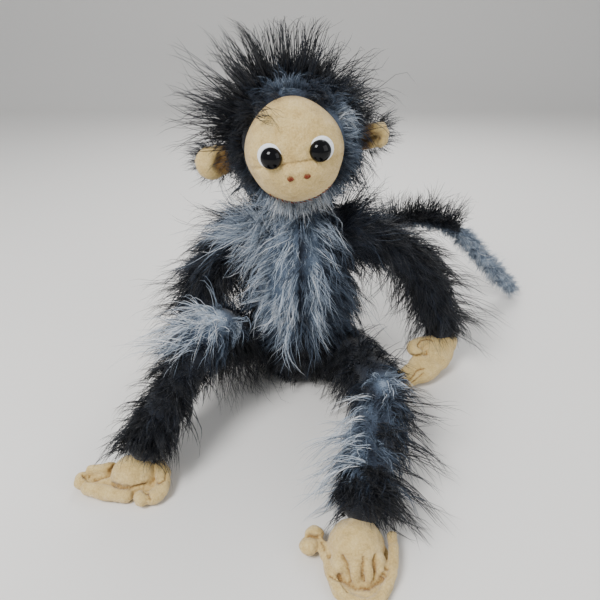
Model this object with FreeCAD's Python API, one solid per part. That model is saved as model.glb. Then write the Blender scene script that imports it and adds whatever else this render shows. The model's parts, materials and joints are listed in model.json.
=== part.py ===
"""Jointed mohair monkey, seated, about 220 mm high, with felt face, ears, hands and feet.

The toy sits with its face towards -Y. +Z is up and +X is the toy's own left. The origin is
the centre of the flat spot it sits on. All sizes are millimetres.

The head, arms and legs turn on pairs of fibre discs held by cotter pins. The elbows, knees and
tail bend in the cloth, which is drawn as a ball at the end of one piece in a socket in the next.
"""

import FreeCAD
import Part
import math
import os

V = FreeCAD.Vector

# --- driving dimensions --------------------------------------------------------------------
CLOTH = 1.2  # mohair cloth with its backing
BODY_CLOTH = 1.5  # the body and head cloth, with its seam allowance
FELT = 1.4

# body: a turned egg with a flat seat
SEAT_R = 24.0
NECK_R = 15.0
NECK_Z = 140.0
BODY_SIDE = [(24.0, 0.0), (32.0, 7.0), (36.5, 28.0), (36.0, 55.0), (32.5, 92.0), (26.0, 118.0), (15.0, 137.0)]
HIP_FLAT_X = 25.0
HIP_FLAT_TOP = 52.0
SHOULDER_PAD_X = 39.0
SHOULDER_PAD_R = 11.5

# the gap between a limb and the body, and along a pin the places of the parts of a disc joint
JOINT_GAP = 0.6
PIN_R = 1.4
PIN_HOLE_R = 1.46
PIN_SLEEVE_R = 1.7  # the hole in the cloth and in the filling
DISC_T = 1.5
WASHER_T = 0.8
WASHER_R = 4.0
PIN_HEAD_R = 3.0
PIN_HEAD_T = 2.0
PIN_CURL_T = 1.8
SHOULDER_DISC_R = 7.0
HIP_DISC_R = 9.0
NECK_DISC_R = 9.0
NECK_AT = (-2.0, -3.5)
SEAM_TURN = 100.0  # degrees that a limb's seam is turned about its length, clear of the cuts
EASE = 0.15  # between two curved layers that lie on each other

# head
HEAD_C = (-4.0, -6.0, 177.0)
HEAD_SEMI = (38.0, 38.0, 40.0)
HEAD_ROLL = 8.0  # degrees, its left ear up
GUSSET_HALF = 14.0
FACE_C = (-3.5, -30.0, 175.5)
FACE_SEMI = (28.5, 22.0, 30.5)
FACE_SEAM_Z = 172.5
EYE_X = 14.1  # either side of the face's middle
EYE_UP = 1.2  # above the face's centre
EYE_R = 5.0
EYE_FELT_R = 6.6
NOSTRIL_X = 4.8
NOSTRIL_DOWN = 11.5
CHIN_STITCHES = 11
CHIN_ARC = 78.0  # degrees of the face's edge that they take up
WIRE_LOOP_R = 0.7
CROWN_PILE_C = (2.0, 4.0, 213.0)
CROWN_PILE_SEMI = (24.0, 26.0, 21.0)
EAR_C = {"left": (45.0, -3.0, 178.0), "right": (-53.0, -6.0, 162.5)}
EAR_SEMI = {"left": (12.5, 7.0, 11.0), "right": (16.0, 7.5, 12.5)}
EAR_TURN = {"left": -32.0, "right": 10.0}  # degrees about Z

# limbs: each runs between two of these points
SHOULDER = {"left": (39.0, 0.0, 112.0), "right": (-39.0, 0.0, 112.0)}
ELBOW = {"left": (91.0, 0.0, 87.0), "right": (-71.0, 5.0, 76.0)}
WRIST = {"left": (115.5, 4.0, 14.5), "right": (-88.0, 15.0, 13.5)}
HAND_C = {"left": (96.5, -11.0, 9.5), "right": (-96.0, 24.0, 8.9)}
HAND_DIR = {"left": (-42.0, -28.0, -12.0), "right": (-22.0, 34.0, -8.0)}
HIP = {"left": (25.0, -10.0, 26.0), "right": (-25.0, -10.0, 26.0)}
HIP_IN = 8.0  # from the body's flat to the thigh's centreline
KNEE = {"left": (54.0, -82.0, 37.0), "right": (-57.0, -54.0, 70.0)}
ANKLE = {"left": (30.0, -166.0, 16.0), "right": (-95.0, -124.0, 17.0)}
FOOT_C = {"left": (29.5, -181.0), "right": (-101.0, -127.0)}
FOOT_SEMI = {"left": (17.5, 24.0), "right": (13.0, 27.0)}  # half its width and half its length
FOOT_TURN = {"left": 0.0, "right": -84.0}  # degrees from toes to -Y

ARM_R = 11.0
ARM_ROOT = (12.0, 9.0)  # how far it starts inside the shoulder's pad, and the corner radius there
WRIST_R = 10.0
THIGH_R = 13.0
SHIN_R = 11.5
BALL_R = 5.0
SOCKET_R = 5.4
NECK_END = (4.0, 3.4)  # how far from a bend's centre the cloth starts, and its radius there
TAPER = 17.0  # where it has its full radius
FILLING_END = 8.0  # where its filling ends
HAND_SEMI = (27.0, 12.5, 7.0)
THUMB_SEMI = (9.5, 4.5, 4.5)
SOLE_T = 3.2
DOME_SEMI = {"left": (14.8, 20.5, 20.5), "right": (11.5, 15.5, 17.0)}
DOME_BACK = {"left": 12.5, "right": -3.0}  # from the sole's centre towards the heel
TOE_SEMI = (7.6, 7.4, 4.8)
TOE_OUT = 3.5  # from the sole's edge to the big toe's centre
TOE_BACK = 11.0

# tail: three arcs, each through its start, a middle and its end
TAIL_ARCS = [
    ("base", (7.0, 40.0, 24.0), (27.0, 60.0, 57.0), (65.0, 75.0, 86.0)),
    ("middle", (65.0, 75.0, 86.0), (104.0, 87.0, 92.0), (142.0, 94.0, 78.0)),
    ("tip", (142.0, 94.0, 78.0), (174.0, 104.0, 46.0), (214.0, 117.0, 5.7)),
]
TAIL_R = 5.5
TAIL_WIRE_R = 0.9
TAIL_BALL_R = 4.6
TAIL_SOCKET_R = 5.0
TAIL_SHOULDER = 2.4  # from a socket to where the tail has its full radius
TAIL_LINK_R = 3.0

SIDES = {"left": 1.0, "right": -1.0}


# --- helpers ---------------------------------------------------------------------------------
def vec(p):
    """A point as a vector."""
    return V(*p)


def place(shape, at, direction, start=(0.0, 0.0, 1.0)):
    """shape, drawn about the origin along start, carried to at and turned along direction."""
    moved = shape.copy()
    carried = FreeCAD.Placement(vec(at), FreeCAD.Rotation(vec(start), vec(direction)))
    moved.Placement = carried.multiply(moved.Placement)
    return moved


def ellipsoid(centre, semi):
    """A closed ellipsoid with its axes along X, Y and Z."""
    largest = max(semi)
    scale = FreeCAD.Matrix()
    scale.A11, scale.A22, scale.A33 = (s / largest for s in semi)
    shape = Part.makeSphere(largest).transformGeometry(scale)
    shape.translate(vec(centre))
    return shape


def box(low, high):
    """A box between two corners."""
    size = [b - a for a, b in zip(low, high)]
    return Part.makeBox(*size, vec(low))


def beyond_x(x, side):
    """All space further from the middle than x, on one side."""
    low = (x, -400.0, -400.0) if side > 0 else (-400.0, -400.0, -400.0)
    high = (400.0, 400.0, 400.0) if side > 0 else (-x, 400.0, 400.0)
    return box(low, high)


def rounded_end(r, corner, z_tip, inward):
    """The outline of a closed end at z_tip: a flat, if any, and a quarter circle out to radius r."""
    flat, full = V(r - corner, 0, z_tip), V(r, 0, z_tip + inward * corner)
    slant = corner * math.sqrt(0.5)
    middle = V(r - corner + slant, 0, z_tip + inward * (corner - slant))
    edges = [Part.Arc(flat, middle, full).toShape()]
    if r - corner > 1e-6:
        edges.append(Part.makeLine(V(0, 0, z_tip), flat))
    return edges


def bend_end(r, z_tip, inward, inset):
    """The outline of an end at a bend: narrow cloth, or the end of the filling, and a taper to r."""
    full = V(r, 0, z_tip + inward * (TAPER + inset))
    if inset:
        return [Part.makeLine(V(0, 0, z_tip + inward * FILLING_END), full)], z_tip + inward * FILLING_END
    neck = V(NECK_END[1], 0, z_tip + inward * NECK_END[0])
    first = V(0, 0, neck.z)
    return [Part.makeLine(first, neck), Part.makeLine(neck, full)], neck.z


def sausage(length, r0, r1, end0, end1, inset=0.0):
    """A limb along Z from 0 to length.

    end0 and end1 are the corner radius of a rounded end, or "bend" where the limb tapers to a bend
    at that end. inset draws the space inside cloth of that thickness.
    """
    edges, full_z, tip_z = [], [], []
    for r, end, z_tip, inward in ((r0, end0, 0.0, 1.0), (r1, end1, length, -1.0)):
        if end == "bend":
            outline, tip = bend_end(r - inset, z_tip, inward, inset)
            full_z.append(z_tip + inward * (TAPER + inset))
        else:
            tip = z_tip + inward * inset
            outline = rounded_end(r - inset, end - inset, tip, inward)
            full_z.append(z_tip + inward * end)
        edges += outline
        tip_z.append(tip)
    edges.append(Part.makeLine(V(r0 - inset, 0, full_z[0]), V(r1 - inset, 0, full_z[1])))
    edges.append(Part.makeLine(V(0, 0, tip_z[0]), V(0, 0, tip_z[1])))
    wire = Part.Wire(Part.__sortEdges__(edges))
    shape = Part.Face(wire).revolve(V(0, 0, 0), V(0, 0, 1), 360)
    shape.rotate(V(0, 0, 0), V(0, 0, 1), SEAM_TURN)
    return shape


def disc(at, axis, start, thickness, radius, bore=None):
    """A disc on an axis, from start along it, with a bore through its middle."""
    shape = Part.makeCylinder(radius, thickness)
    if bore:
        shape = shape.cut(Part.makeCylinder(bore, thickness))
    shape.translate(V(0, 0, start))
    return place(shape, at, axis)


def save(node, *solids):
    """Writes a node's solids to its file."""
    found = [s for shape in solids for s in shape.Solids]
    if not found:
        raise RuntimeError(f"{node} has no solid")
    whole = found[0] if len(found) == 1 else Part.makeCompound(found)
    if not all(s.isValid() for s in found):
        print("not valid:", node)
    whole.exportStep(os.path.join("parts", node + ".step"))
    volume = sum(s.Volume for s in found)
    print(f"{node}: {len(found)} solids, {volume:.0f} mm3, z from {whole.BoundBox.ZMin:.2f}")


# --- disc joints -----------------------------------------------------------------------------
class DiscJoint:
    """Two discs, a washer and a cotter pin. at is on the body's pad, and axis points into the limb.

    Along the axis come the pin's curl, the washer, the inner disc, the body's cloth, the gap, the
    limb's cloth, the outer disc and the pin's head.
    """

    def __init__(self, at, axis, radius):
        self.at, self.axis, self.radius = at, axis, radius
        self.washer_at = -BODY_CLOTH - DISC_T - WASHER_T
        self.curl_at = self.washer_at - PIN_CURL_T
        self.outer_at = JOINT_GAP + CLOTH
        self.head_at = self.outer_at + DISC_T
        self.inner_disc = self.ring(-BODY_CLOTH - DISC_T, DISC_T, radius, PIN_HOLE_R)
        self.washer = self.ring(self.washer_at, WASHER_T, WASHER_R, PIN_HOLE_R)
        self.outer_disc = self.ring(self.outer_at, DISC_T, radius, PIN_R)
        shaft = self.ring(self.curl_at, self.head_at + PIN_HEAD_T - self.curl_at, PIN_R)
        curl = self.ring(self.curl_at, PIN_CURL_T, PIN_HEAD_R)
        head = self.ring(self.head_at, PIN_HEAD_T, PIN_HEAD_R)
        self.pin = shaft.fuse([curl, head]).removeSplitter()

    def ring(self, start, thickness, radius, bore=None):
        """A disc on the joint's axis."""
        return disc(self.at, self.axis, start, thickness, radius, bore)

    def body_room(self):
        """What the body's filling and cloth leave free for the parts."""
        inner = self.ring(-BODY_CLOTH - DISC_T, DISC_T, self.radius)
        washer = self.ring(self.washer_at, WASHER_T, WASHER_R)
        curl = self.ring(self.curl_at - EASE, PIN_CURL_T + EASE, PIN_HEAD_R + EASE)
        return inner.fuse([washer, curl, self.body_hole()])

    def body_hole(self):
        """The pin's hole through the body's cloth."""
        return self.ring(-2.0 * BODY_CLOTH, 3.0 * BODY_CLOTH, PIN_SLEEVE_R)

    def limb_room(self):
        """What the limb's filling and cloth leave free for the parts."""
        outer = self.ring(self.outer_at, DISC_T, self.radius)
        head = self.ring(self.head_at, PIN_HEAD_T + EASE, PIN_HEAD_R)
        return outer.fuse([head, self.ring(-1.0, self.head_at + 1.0, PIN_R)])


NECK_JOINT = DiscJoint((*NECK_AT, NECK_Z), (0, 0, 1), NECK_DISC_R)
SHOULDER_JOINTS = {s: DiscJoint(SHOULDER[s], (SIDES[s], 0, 0), SHOULDER_DISC_R) for s in SIDES}
HIP_JOINTS = {s: DiscJoint(HIP[s], (SIDES[s], 0, 0), HIP_DISC_R) for s in SIDES}


# --- body ------------------------------------------------------------------------------------
def body_shape(inset):
    """The body's outside, or the space inside cloth of thickness inset."""
    side = [V(max(r - inset, 1.0), 0, z) for r, z in BODY_SIDE]
    side[0] = V(SEAT_R - inset, 0, inset)
    top = V(NECK_R - inset, 0, NECK_Z - inset)
    curve = Part.BSplineCurve()
    curve.interpolate(side + [top])
    low, high = V(0, 0, inset), V(0, 0, NECK_Z - inset)
    edges = [Part.makeLine(low, side[0]), curve.toShape(), Part.makeLine(top, high), Part.makeLine(high, low)]
    shape = Part.Face(Part.Wire(edges)).revolve(V(0, 0, 0), V(0, 0, 1), 360)
    for side_sign in SIDES.values():
        pad = Part.makeCylinder(SHOULDER_PAD_R - inset, SHOULDER_PAD_X - inset)
        shape = shape.fuse(place(pad, (0, 0, SHOULDER["left"][2]), (side_sign, 0, 0)))
    for side_sign in SIDES.values():
        beside = beyond_x(HIP_FLAT_X - inset, side_sign)
        shape = shape.cut(beside.common(box((-90, -90, -10), (90, 90, HIP_FLAT_TOP + inset))))
    return shape


def make_body():
    """Four cloth panels, the filling and the inner halves of the five disc joints."""
    joints = [NECK_JOINT, *SHOULDER_JOINTS.values(), *HIP_JOINTS.values()]
    outer, inner = body_shape(0.0), body_shape(BODY_CLOTH)
    holes = [j.body_hole() for j in joints]
    cloth = outer.cut(inner).cut(holes[0].fuse(holes[1:]))
    tail_root = tail_root_shape().cut(outer)
    far = 90.0
    for name, low, high in (
        ("torso_front_left", (0, -far, -far), (far, 0, 2 * far)),
        ("torso_front_right", (-far, -far, -far), (0, 0, 2 * far)),
        ("torso_back_left", (0, 0, -far), (far, far, 2 * far)),
        ("torso_back_right", (-far, 0, -far), (0, far, 2 * far)),
    ):
        panel = cloth.common(box(low, high))
        save(name, panel.fuse(tail_root) if name == "torso_back_left" else panel)
    rooms = [j.body_room() for j in joints]
    save("torso_stuffing", body_shape(BODY_CLOTH + EASE).cut(rooms[0].fuse(rooms[1:])))
    save("inner_joint_discs", *[j.inner_disc for j in joints])
    save("joint_washers", *[j.washer for j in joints])


# --- head ------------------------------------------------------------------------------------
def face_point(x, up, lift=0.0):
    """A point on the face at x across and up from its centre, with the outward direction there."""
    a, b, c = FACE_SEMI
    y = -b * math.sqrt(max(1.0 - (x / a) ** 2 - (up / c) ** 2, 0.0))
    normal = V(x / a**2, y / b**2, up / c**2)
    normal.normalize()
    return vec(FACE_C) + V(x, y, up) + normal * lift, normal


def on_face(shape, x, up, lift=0.0):
    """shape, drawn about the origin facing +Z, set on the face before the head is rolled."""
    at, normal = face_point(x, up, lift)
    return place(shape, at, normal)


def half_bowl(centre, semi, thickness):
    """The back half of a hollow ellipsoid, open towards -Y."""
    inner = [s - thickness for s in semi]
    bowl = ellipsoid(centre, semi).cut(ellipsoid(centre, inner))
    low = (centre[0] - 60, centre[1] - 1.0, centre[2] - 60)
    return bowl.common(box(low, (centre[0] + 60, centre[1] + 60, centre[2] + 60)))


def roll(shape):
    """shape turned with the head's tilt."""
    turned = shape.copy()
    turned.rotate(vec(HEAD_C), V(0, 1, 0), -HEAD_ROLL)
    return turned


def save_rolled(node, shapes):
    """Writes a node of the head, drawn level, with the head's tilt."""
    save(node, *[roll(s) for s in shapes])


def head_with_ease():
    """The head's outside and a little more, which the parts that lie on it are cut by."""
    return ellipsoid(HEAD_C, [s + EASE for s in HEAD_SEMI])


def make_head_cloth(loops):
    """The two sides and the gusset between them, the filling and the long pile on the crown."""
    outer = ellipsoid(HEAD_C, HEAD_SEMI)
    base = NECK_Z + JOINT_GAP
    cut_outer = outer.cut(box((-90, -90, 90), (90, 90, base)))
    inner = ellipsoid(HEAD_C, [s - BODY_CLOTH for s in HEAD_SEMI])
    inner = inner.cut(box((-90, -90, 90), (90, 90, base + CLOTH)))
    hole = NECK_JOINT.ring(-1.0, 4.0, PIN_R)
    wires = roll(loops[0]).fuse(roll(loops[1]))
    cloth = cut_outer.cut(inner).cut(hole).cut(wires)
    middle = roll(box((HEAD_C[0] - GUSSET_HALF, -90, 60), (HEAD_C[0] + GUSSET_HALF, 90, 260)))
    left_half = roll(box((HEAD_C[0], -90, 60), (90, 90, 260)))
    sides = cloth.cut(middle)
    save("head_gusset", cloth.common(middle))
    save("head_side_left", sides.common(left_half))
    save("head_side_right", sides.cut(left_half))
    filling = ellipsoid(HEAD_C, [s - BODY_CLOTH - EASE for s in HEAD_SEMI])
    filling = filling.cut(box((-90, -90, 90), (90, 90, base + CLOTH)))
    save("head_stuffing", filling.cut(NECK_JOINT.limb_room()).cut(wires))
    save("crown_pile", ellipsoid(CROWN_PILE_C, CROWN_PILE_SEMI).cut(head_with_ease()))
    save("neck_disc_upper", NECK_JOINT.outer_disc)
    save("neck_cotter_pin", NECK_JOINT.pin)


def make_eyes():
    """Glass eyes on felt discs, each with a wire loop into the filling."""
    glass = ellipsoid((0, 0, 1.0), (EYE_R, EYE_R, EYE_R * 0.7)).cut(box((-9, -9, -9), (9, 9, 1.0)))
    disc_of_felt = Part.makeCylinder(EYE_FELT_R, 1.0).cut(Part.makeCylinder(WIRE_LOOP_R, 1.0))
    loop = Part.makeCylinder(WIRE_LOOP_R, 11.0, V(0, 0, -10.0))
    glasses, felts, loops = [], [], []
    for x in (EYE_X, -EYE_X):
        glasses.append(on_face(glass, x, EYE_UP))
        felts.append(on_face(disc_of_felt, x, EYE_UP))
        loops.append(on_face(loop, x, EYE_UP))
    return glasses, felts, loops


def make_face():
    """A felt face in two pieces with its eyes and its stitched nose, and the cloth behind it."""
    glasses, felts, loops = make_eyes()
    knot = ellipsoid((0, 0, 0.1), (1.7, 1.3, 0.7))
    nostrils = [on_face(knot, x, -NOSTRIL_DOWN) for x in (NOSTRIL_X, -NOSTRIL_X)]
    head = head_with_ease()
    face = ellipsoid(FACE_C, FACE_SEMI).cut(head)
    face = face.common(box((-90, -90, 100), (90, FACE_C[1] + 1.0, 260)))
    face = face.cut(felts[0].fuse(felts[1:] + loops + nostrils + glasses))
    make_head_cloth(loops)
    save_rolled("face_upper", [face.common(box((-90, -90, FACE_SEAM_Z), (90, 90, 260)))])
    save_rolled("face_muzzle", [face.common(box((-90, -90, 100), (90, 90, FACE_SEAM_Z)))])
    save_rolled("eye_glasses", glasses)
    save_rolled("eye_felts", felts)
    save_rolled("eye_wire_loops", [s.cut(glasses[0].fuse(glasses[1])) for s in loops])
    save_rolled("face_stitches", nostrils + chin_stitches(head))


def chin_stitches(head):
    """A row of overcast stitches along the lower edge of the face."""
    stitches = []
    for i in range(CHIN_STITCHES):
        share = i / (CHIN_STITCHES - 1) - 0.5
        angle = math.radians(-90 + CHIN_ARC * share)
        across = (FACE_SEMI[0] + 0.7) * math.cos(angle)
        down = (FACE_SEMI[2] + 0.7) * math.sin(angle)
        thread = Part.makeCylinder(0.35, 3.4, V(0, 0, -1.7))
        at = (FACE_C[0] + across, FACE_C[1] - 2.2, FACE_C[2] + down)
        stitches.append(place(thread, at, (0.25, 1.0, 0.0)).cut(head))
    return stitches


def make_ears():
    """Each ear is a felt cup with mohair cloth on its back, sewn to the side of the head."""
    head = head_with_ease()
    for side in SIDES:
        centre, semi = EAR_C[side], EAR_SEMI[side]
        felt = half_bowl(centre, [s - CLOTH for s in semi], FELT)
        back = half_bowl(centre, semi, CLOTH)
        for shape in (felt, back):
            shape.rotate(vec(centre), V(0, 0, 1), EAR_TURN[side])
        save(f"ear_{side}", felt.cut(head), back.cut(head))


# --- arms ------------------------------------------------------------------------------------
def between(a, b, back=0.0):
    """A start point and direction from a to b, with the start moved back, and the length."""
    start, end = vec(a), vec(b)
    way = end - start
    way.normalize()
    start = start - way * back
    return start, way, (end - start).Length


def segment(start, way, length, *sizes, inset=0.0):
    """A sausage from start along way."""
    return place(sausage(length, *sizes, inset=inset), start, way)


def ball(at, radius, way=(0.0, 0.0, 1.0)):
    """A sphere with its poles along way."""
    return place(Part.makeSphere(radius), at, way)


def jointed_root(start, way, length, sizes, pad_x, side, joint, end_ball):
    """The cloth and filling of a limb whose root turns against a flat pad on the body."""
    outer = segment(start, way, length, *sizes).common(beyond_x(pad_x + JOINT_GAP, side))
    inner = segment(start, way, length, *sizes, inset=CLOTH)
    inner = inner.common(beyond_x(pad_x + JOINT_GAP + CLOTH, side))
    room = joint.limb_room()
    cloth = outer.fuse(ball(end_ball, BALL_R, way)).cut(inner).cut(room)
    return cloth, inner.cut(room)


def make_arm(name):
    """A sleeve in two parts that meet at the elbow, its filling, and a felt hand in two layers."""
    side = SIDES[name]
    joint = SHOULDER_JOINTS[name]
    start, way, length = between(SHOULDER[name], ELBOW[name], back=ARM_ROOT[0])
    sizes = (ARM_R, ARM_R, ARM_ROOT[1], "bend")
    cloth, filling = jointed_root(start, way, length, sizes, SHOULDER_PAD_X, side, joint, ELBOW[name])
    save(f"upper_arm_sleeve_{name}", cloth)
    save(f"upper_arm_stuffing_{name}", filling)
    save(f"shoulder_disc_{name}", joint.outer_disc)
    save(f"shoulder_cotter_pin_{name}", joint.pin)

    start, way, length = between(ELBOW[name], WRIST[name])
    sizes = (ARM_R, WRIST_R, "bend", 7.0)
    outer = segment(start, way, length, *sizes)
    inner = segment(start, way, length, *sizes, inset=CLOTH)
    save(f"forearm_sleeve_{name}", outer.cut(inner).cut(ball(ELBOW[name], SOCKET_R, way)))
    save(f"forearm_stuffing_{name}", inner)

    # the hand is drawn along +X with its palm down, and then laid along the floor
    whole = ellipsoid((0, 0, 0), HAND_SEMI)
    thumb = ellipsoid((-3.0, side * 4.0, 6.0), THUMB_SEMI)
    back = whole.common(box((-40, -40, 0), (40, 40, 40))).fuse(thumb)
    palm = whole.common(box((-40, -40, -40), (40, 40, 0))).cut(thumb)
    flat = V(HAND_DIR[name][0], HAND_DIR[name][1], 0)
    turn = FreeCAD.Rotation(V(1, 0, 0), flat)
    pitch = math.degrees(math.asin(-HAND_DIR[name][2] / vec(HAND_DIR[name]).Length))
    laid = FreeCAD.Placement(vec(HAND_C[name]), turn.multiply(FreeCAD.Rotation(V(0, 1, 0), pitch)))
    for node, shape in ((f"hand_back_{name}", back), (f"hand_palm_{name}", palm)):
        shape.Placement = laid
        save(node, shape.cut(outer))


# --- legs ------------------------------------------------------------------------------------
def make_leg(name):
    """A thigh and a shin that meet at the knee, their filling, and a felt foot on a wide sole."""
    side = SIDES[name]
    joint = HIP_JOINTS[name]
    root = (HIP[name][0] + side * HIP_IN, HIP[name][1], HIP[name][2])
    start, way, length = between(root, KNEE[name], back=THIGH_R)
    sizes = (THIGH_R, THIGH_R, THIGH_R, "bend")
    cloth, filling = jointed_root(start, way, length, sizes, HIP_FLAT_X, side, joint, KNEE[name])
    save(f"thigh_sleeve_{name}", cloth)
    save(f"thigh_stuffing_{name}", filling)
    save(f"hip_disc_{name}", joint.outer_disc)
    save(f"hip_cotter_pin_{name}", joint.pin)

    start, way, length = between(KNEE[name], ANKLE[name])
    sizes = (SHIN_R, SHIN_R, "bend", 7.0)
    outer = segment(start, way, length, *sizes)
    inner = segment(start, way, length, *sizes, inset=CLOTH)
    save(f"shin_sleeve_{name}", outer.cut(inner).cut(ball(KNEE[name], SOCKET_R, way)))
    save(f"shin_stuffing_{name}", inner)

    # the foot is drawn with its toes to -Y, the big toe on the inner side
    wide, long = FOOT_SEMI[name]
    narrow = FreeCAD.Matrix()
    narrow.A11 = wide / long
    sole = Part.makeCylinder(long, SOLE_T).transformGeometry(narrow)
    toe = ellipsoid((-side * (wide + TOE_OUT), TOE_BACK, TOE_SEMI[2]), TOE_SEMI)
    top = ellipsoid((0, DOME_BACK[name], SOLE_T), DOME_SEMI[name])
    top = top.common(box((-60, -60, SOLE_T), (60, 60, 60))).cut(toe)
    for node, shape in ((f"foot_sole_{name}", sole.fuse(toe)), (f"foot_top_{name}", top)):
        shape.rotate(V(0, 0, 0), V(0, 0, 1), FOOT_TURN[name])
        shape.translate(V(*FOOT_C[name], 0))
        save(node, shape.cut(outer))


# --- tail ------------------------------------------------------------------------------------
def arc_tube(start, middle, end, radius):
    """A round tube along the arc through three points."""
    arc = Part.Arc(vec(start), vec(middle), vec(end))
    circle = arc.toShape().Curve
    spin = circle.Axis
    first = arc.value(arc.FirstParameter)
    tangent = spin.cross(first - circle.Center)
    section = Part.Face(Part.Wire(Part.makeCircle(radius, first, tangent)))
    sweep = math.degrees(arc.LastParameter - arc.FirstParameter)
    return section.revolve(circle.Center, spin, sweep)


def arc_way_at_end(start, middle, end):
    """The direction in which the arc through three points arrives at its end."""
    arc = Part.Arc(vec(start), vec(middle), vec(end))
    way = arc.tangent(arc.LastParameter)[0]
    way.normalize()
    return way


def link(at, way):
    """The narrow cloth between a bend and the full tail."""
    return place(Part.makeCylinder(TAIL_LINK_R, TAIL_SOCKET_R + 4.0), at, way)


def tail_root_shape():
    """The ball of cloth on the body that the tail turns on."""
    start, middle, end = TAIL_ARCS[0][1:]
    back = arc_way_at_end(end, middle, start)
    return ball(start, TAIL_BALL_R, back).fuse(link(start, back))


def make_tail():
    """Three lengths of fur tube with a wire through each, bending at their ends."""
    body = body_shape(0.0)
    for name, start, middle, end in TAIL_ARCS:
        onward = arc_way_at_end(end, middle, start) * -1
        tube = arc_tube(start, middle, end, TAIL_R)
        tube = tube.cut(ball(start, TAIL_SOCKET_R + TAIL_SHOULDER, onward))
        tube = tube.fuse(link(start, onward))
        wire = arc_tube(start, middle, end, TAIL_WIRE_R)
        if name == TAIL_ARCS[-1][0]:
            tube = tube.fuse(ball(end, TAIL_R))
        else:
            back = arc_way_at_end(start, middle, end) * -1
            tube = tube.cut(ball(end, TAIL_SOCKET_R + TAIL_SHOULDER, back))
            tube = tube.fuse([link(end, back), ball(end, TAIL_BALL_R, back)])
        socket = ball(start, TAIL_SOCKET_R, onward)
        wire = wire.cut(socket)
        save(f"tail_sleeve_{name}", tube.cut(socket).cut(wire).cut(body))
        save(f"tail_wire_{name}", wire)


os.makedirs("parts", exist_ok=True)
make_body()
make_face()
make_ears()
for side_name in SIDES:
    make_arm(side_name)
    make_leg(side_name)
make_tail()
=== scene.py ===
"""The visible model of a jointed mohair monkey, built around its CAD frame.

The toy sits with its face towards -Y, +Z is up and +X is its own left. Cloth and felt are closed
surfaces, and the pile is locks of tapered hairs that grow from them. Everything is worked out as
whole arrays, in metres, and all but the limbs' sleeves and coats ride on the frame's bodies.
"""
import json
import logging
import math
from dataclasses import dataclass, field, replace
from enum import Enum
from typing import Callable, Iterable

import bpy
import numpy as np
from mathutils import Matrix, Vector


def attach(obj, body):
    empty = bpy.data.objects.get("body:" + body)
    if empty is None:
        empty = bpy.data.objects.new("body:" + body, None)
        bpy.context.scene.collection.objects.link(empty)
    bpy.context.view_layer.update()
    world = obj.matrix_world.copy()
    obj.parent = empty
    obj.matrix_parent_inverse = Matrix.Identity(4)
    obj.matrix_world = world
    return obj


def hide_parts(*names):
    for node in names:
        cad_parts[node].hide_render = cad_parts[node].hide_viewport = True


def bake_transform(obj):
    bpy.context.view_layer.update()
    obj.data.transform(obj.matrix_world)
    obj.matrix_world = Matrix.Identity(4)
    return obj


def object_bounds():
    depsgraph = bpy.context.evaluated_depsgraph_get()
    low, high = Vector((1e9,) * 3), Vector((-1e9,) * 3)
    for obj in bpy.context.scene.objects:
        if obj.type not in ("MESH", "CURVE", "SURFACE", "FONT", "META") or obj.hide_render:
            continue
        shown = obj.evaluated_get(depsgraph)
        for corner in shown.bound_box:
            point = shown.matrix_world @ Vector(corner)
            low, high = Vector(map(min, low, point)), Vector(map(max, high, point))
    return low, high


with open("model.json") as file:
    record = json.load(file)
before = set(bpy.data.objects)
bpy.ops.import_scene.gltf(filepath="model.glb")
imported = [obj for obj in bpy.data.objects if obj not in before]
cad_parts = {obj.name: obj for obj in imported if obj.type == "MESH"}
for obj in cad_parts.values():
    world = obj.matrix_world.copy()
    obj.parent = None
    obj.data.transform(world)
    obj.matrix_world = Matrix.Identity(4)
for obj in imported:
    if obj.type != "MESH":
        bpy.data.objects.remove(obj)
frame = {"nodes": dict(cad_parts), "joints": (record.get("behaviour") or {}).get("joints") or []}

Array = np.ndarray
Rng = np.random.Generator
Piece = bpy.types.Object
Socket = bpy.types.NodeSocket
Tree = bpy.types.NodeTree
LOG = logging.getLogger("mohair_monkey")
CAD_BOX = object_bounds()
MM = 0.001
FLOOR = 0.0004
# how tightly each stuffed piece is filled, from 0, slack, to 1, tight
HAND_AND_FOOT_FILL = 0.8
FULL_TURN = 2.0 * math.pi
UP = np.array((0.0, 0.0, 1.0))


# --- small array helpers -----------------------------------------------------------------------
def unit(vectors: Array) -> Array:
    """The same directions with length one."""
    return vectors / np.maximum(np.linalg.norm(vectors, axis=-1, keepdims=True), 1e-9)


def mm(*values: float) -> Array:
    """A point given in millimetres, in metres."""
    return np.array(values, dtype=float) * MM


def rough_sphere(rng: Rng, count: int) -> Array:
    """Random directions, spread evenly over the sphere."""
    return unit(rng.normal(size=(count, 3)))


def patches(points: Array, size: float, seed: int) -> Array:
    """A smooth random field, about -1 to 1.

    It is the mean of nine sine waves in random directions whose lengths are near size.

    Args:
        points: where to read the field, in metres.
        size: the length of a wave, in metres.
        seed: which field.

    Returns:
        One value for each point.
    """
    rng = np.random.default_rng(seed)
    waves = rough_sphere(rng, 9) * (FULL_TURN / size) * rng.uniform(0.6, 1.5, (9, 1))
    return np.clip(np.sin(points @ waves.T + rng.uniform(0.0, 6.28, 9)).mean(axis=1) * 2.2, -1.0, 1.0)


def bump(distance: Array, width: float) -> Array:
    """A bell: one at distance nought, falling as the Gaussian of distance over width."""
    return np.exp(-((distance / width) ** 2))


def step(values: Array, start: float, end: float) -> Array:
    """A smooth step from nought at start to one at end."""
    share = np.clip((values - start) / (end - start), 0.0, 1.0)
    return share * share * (3.0 - 2.0 * share)


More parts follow.
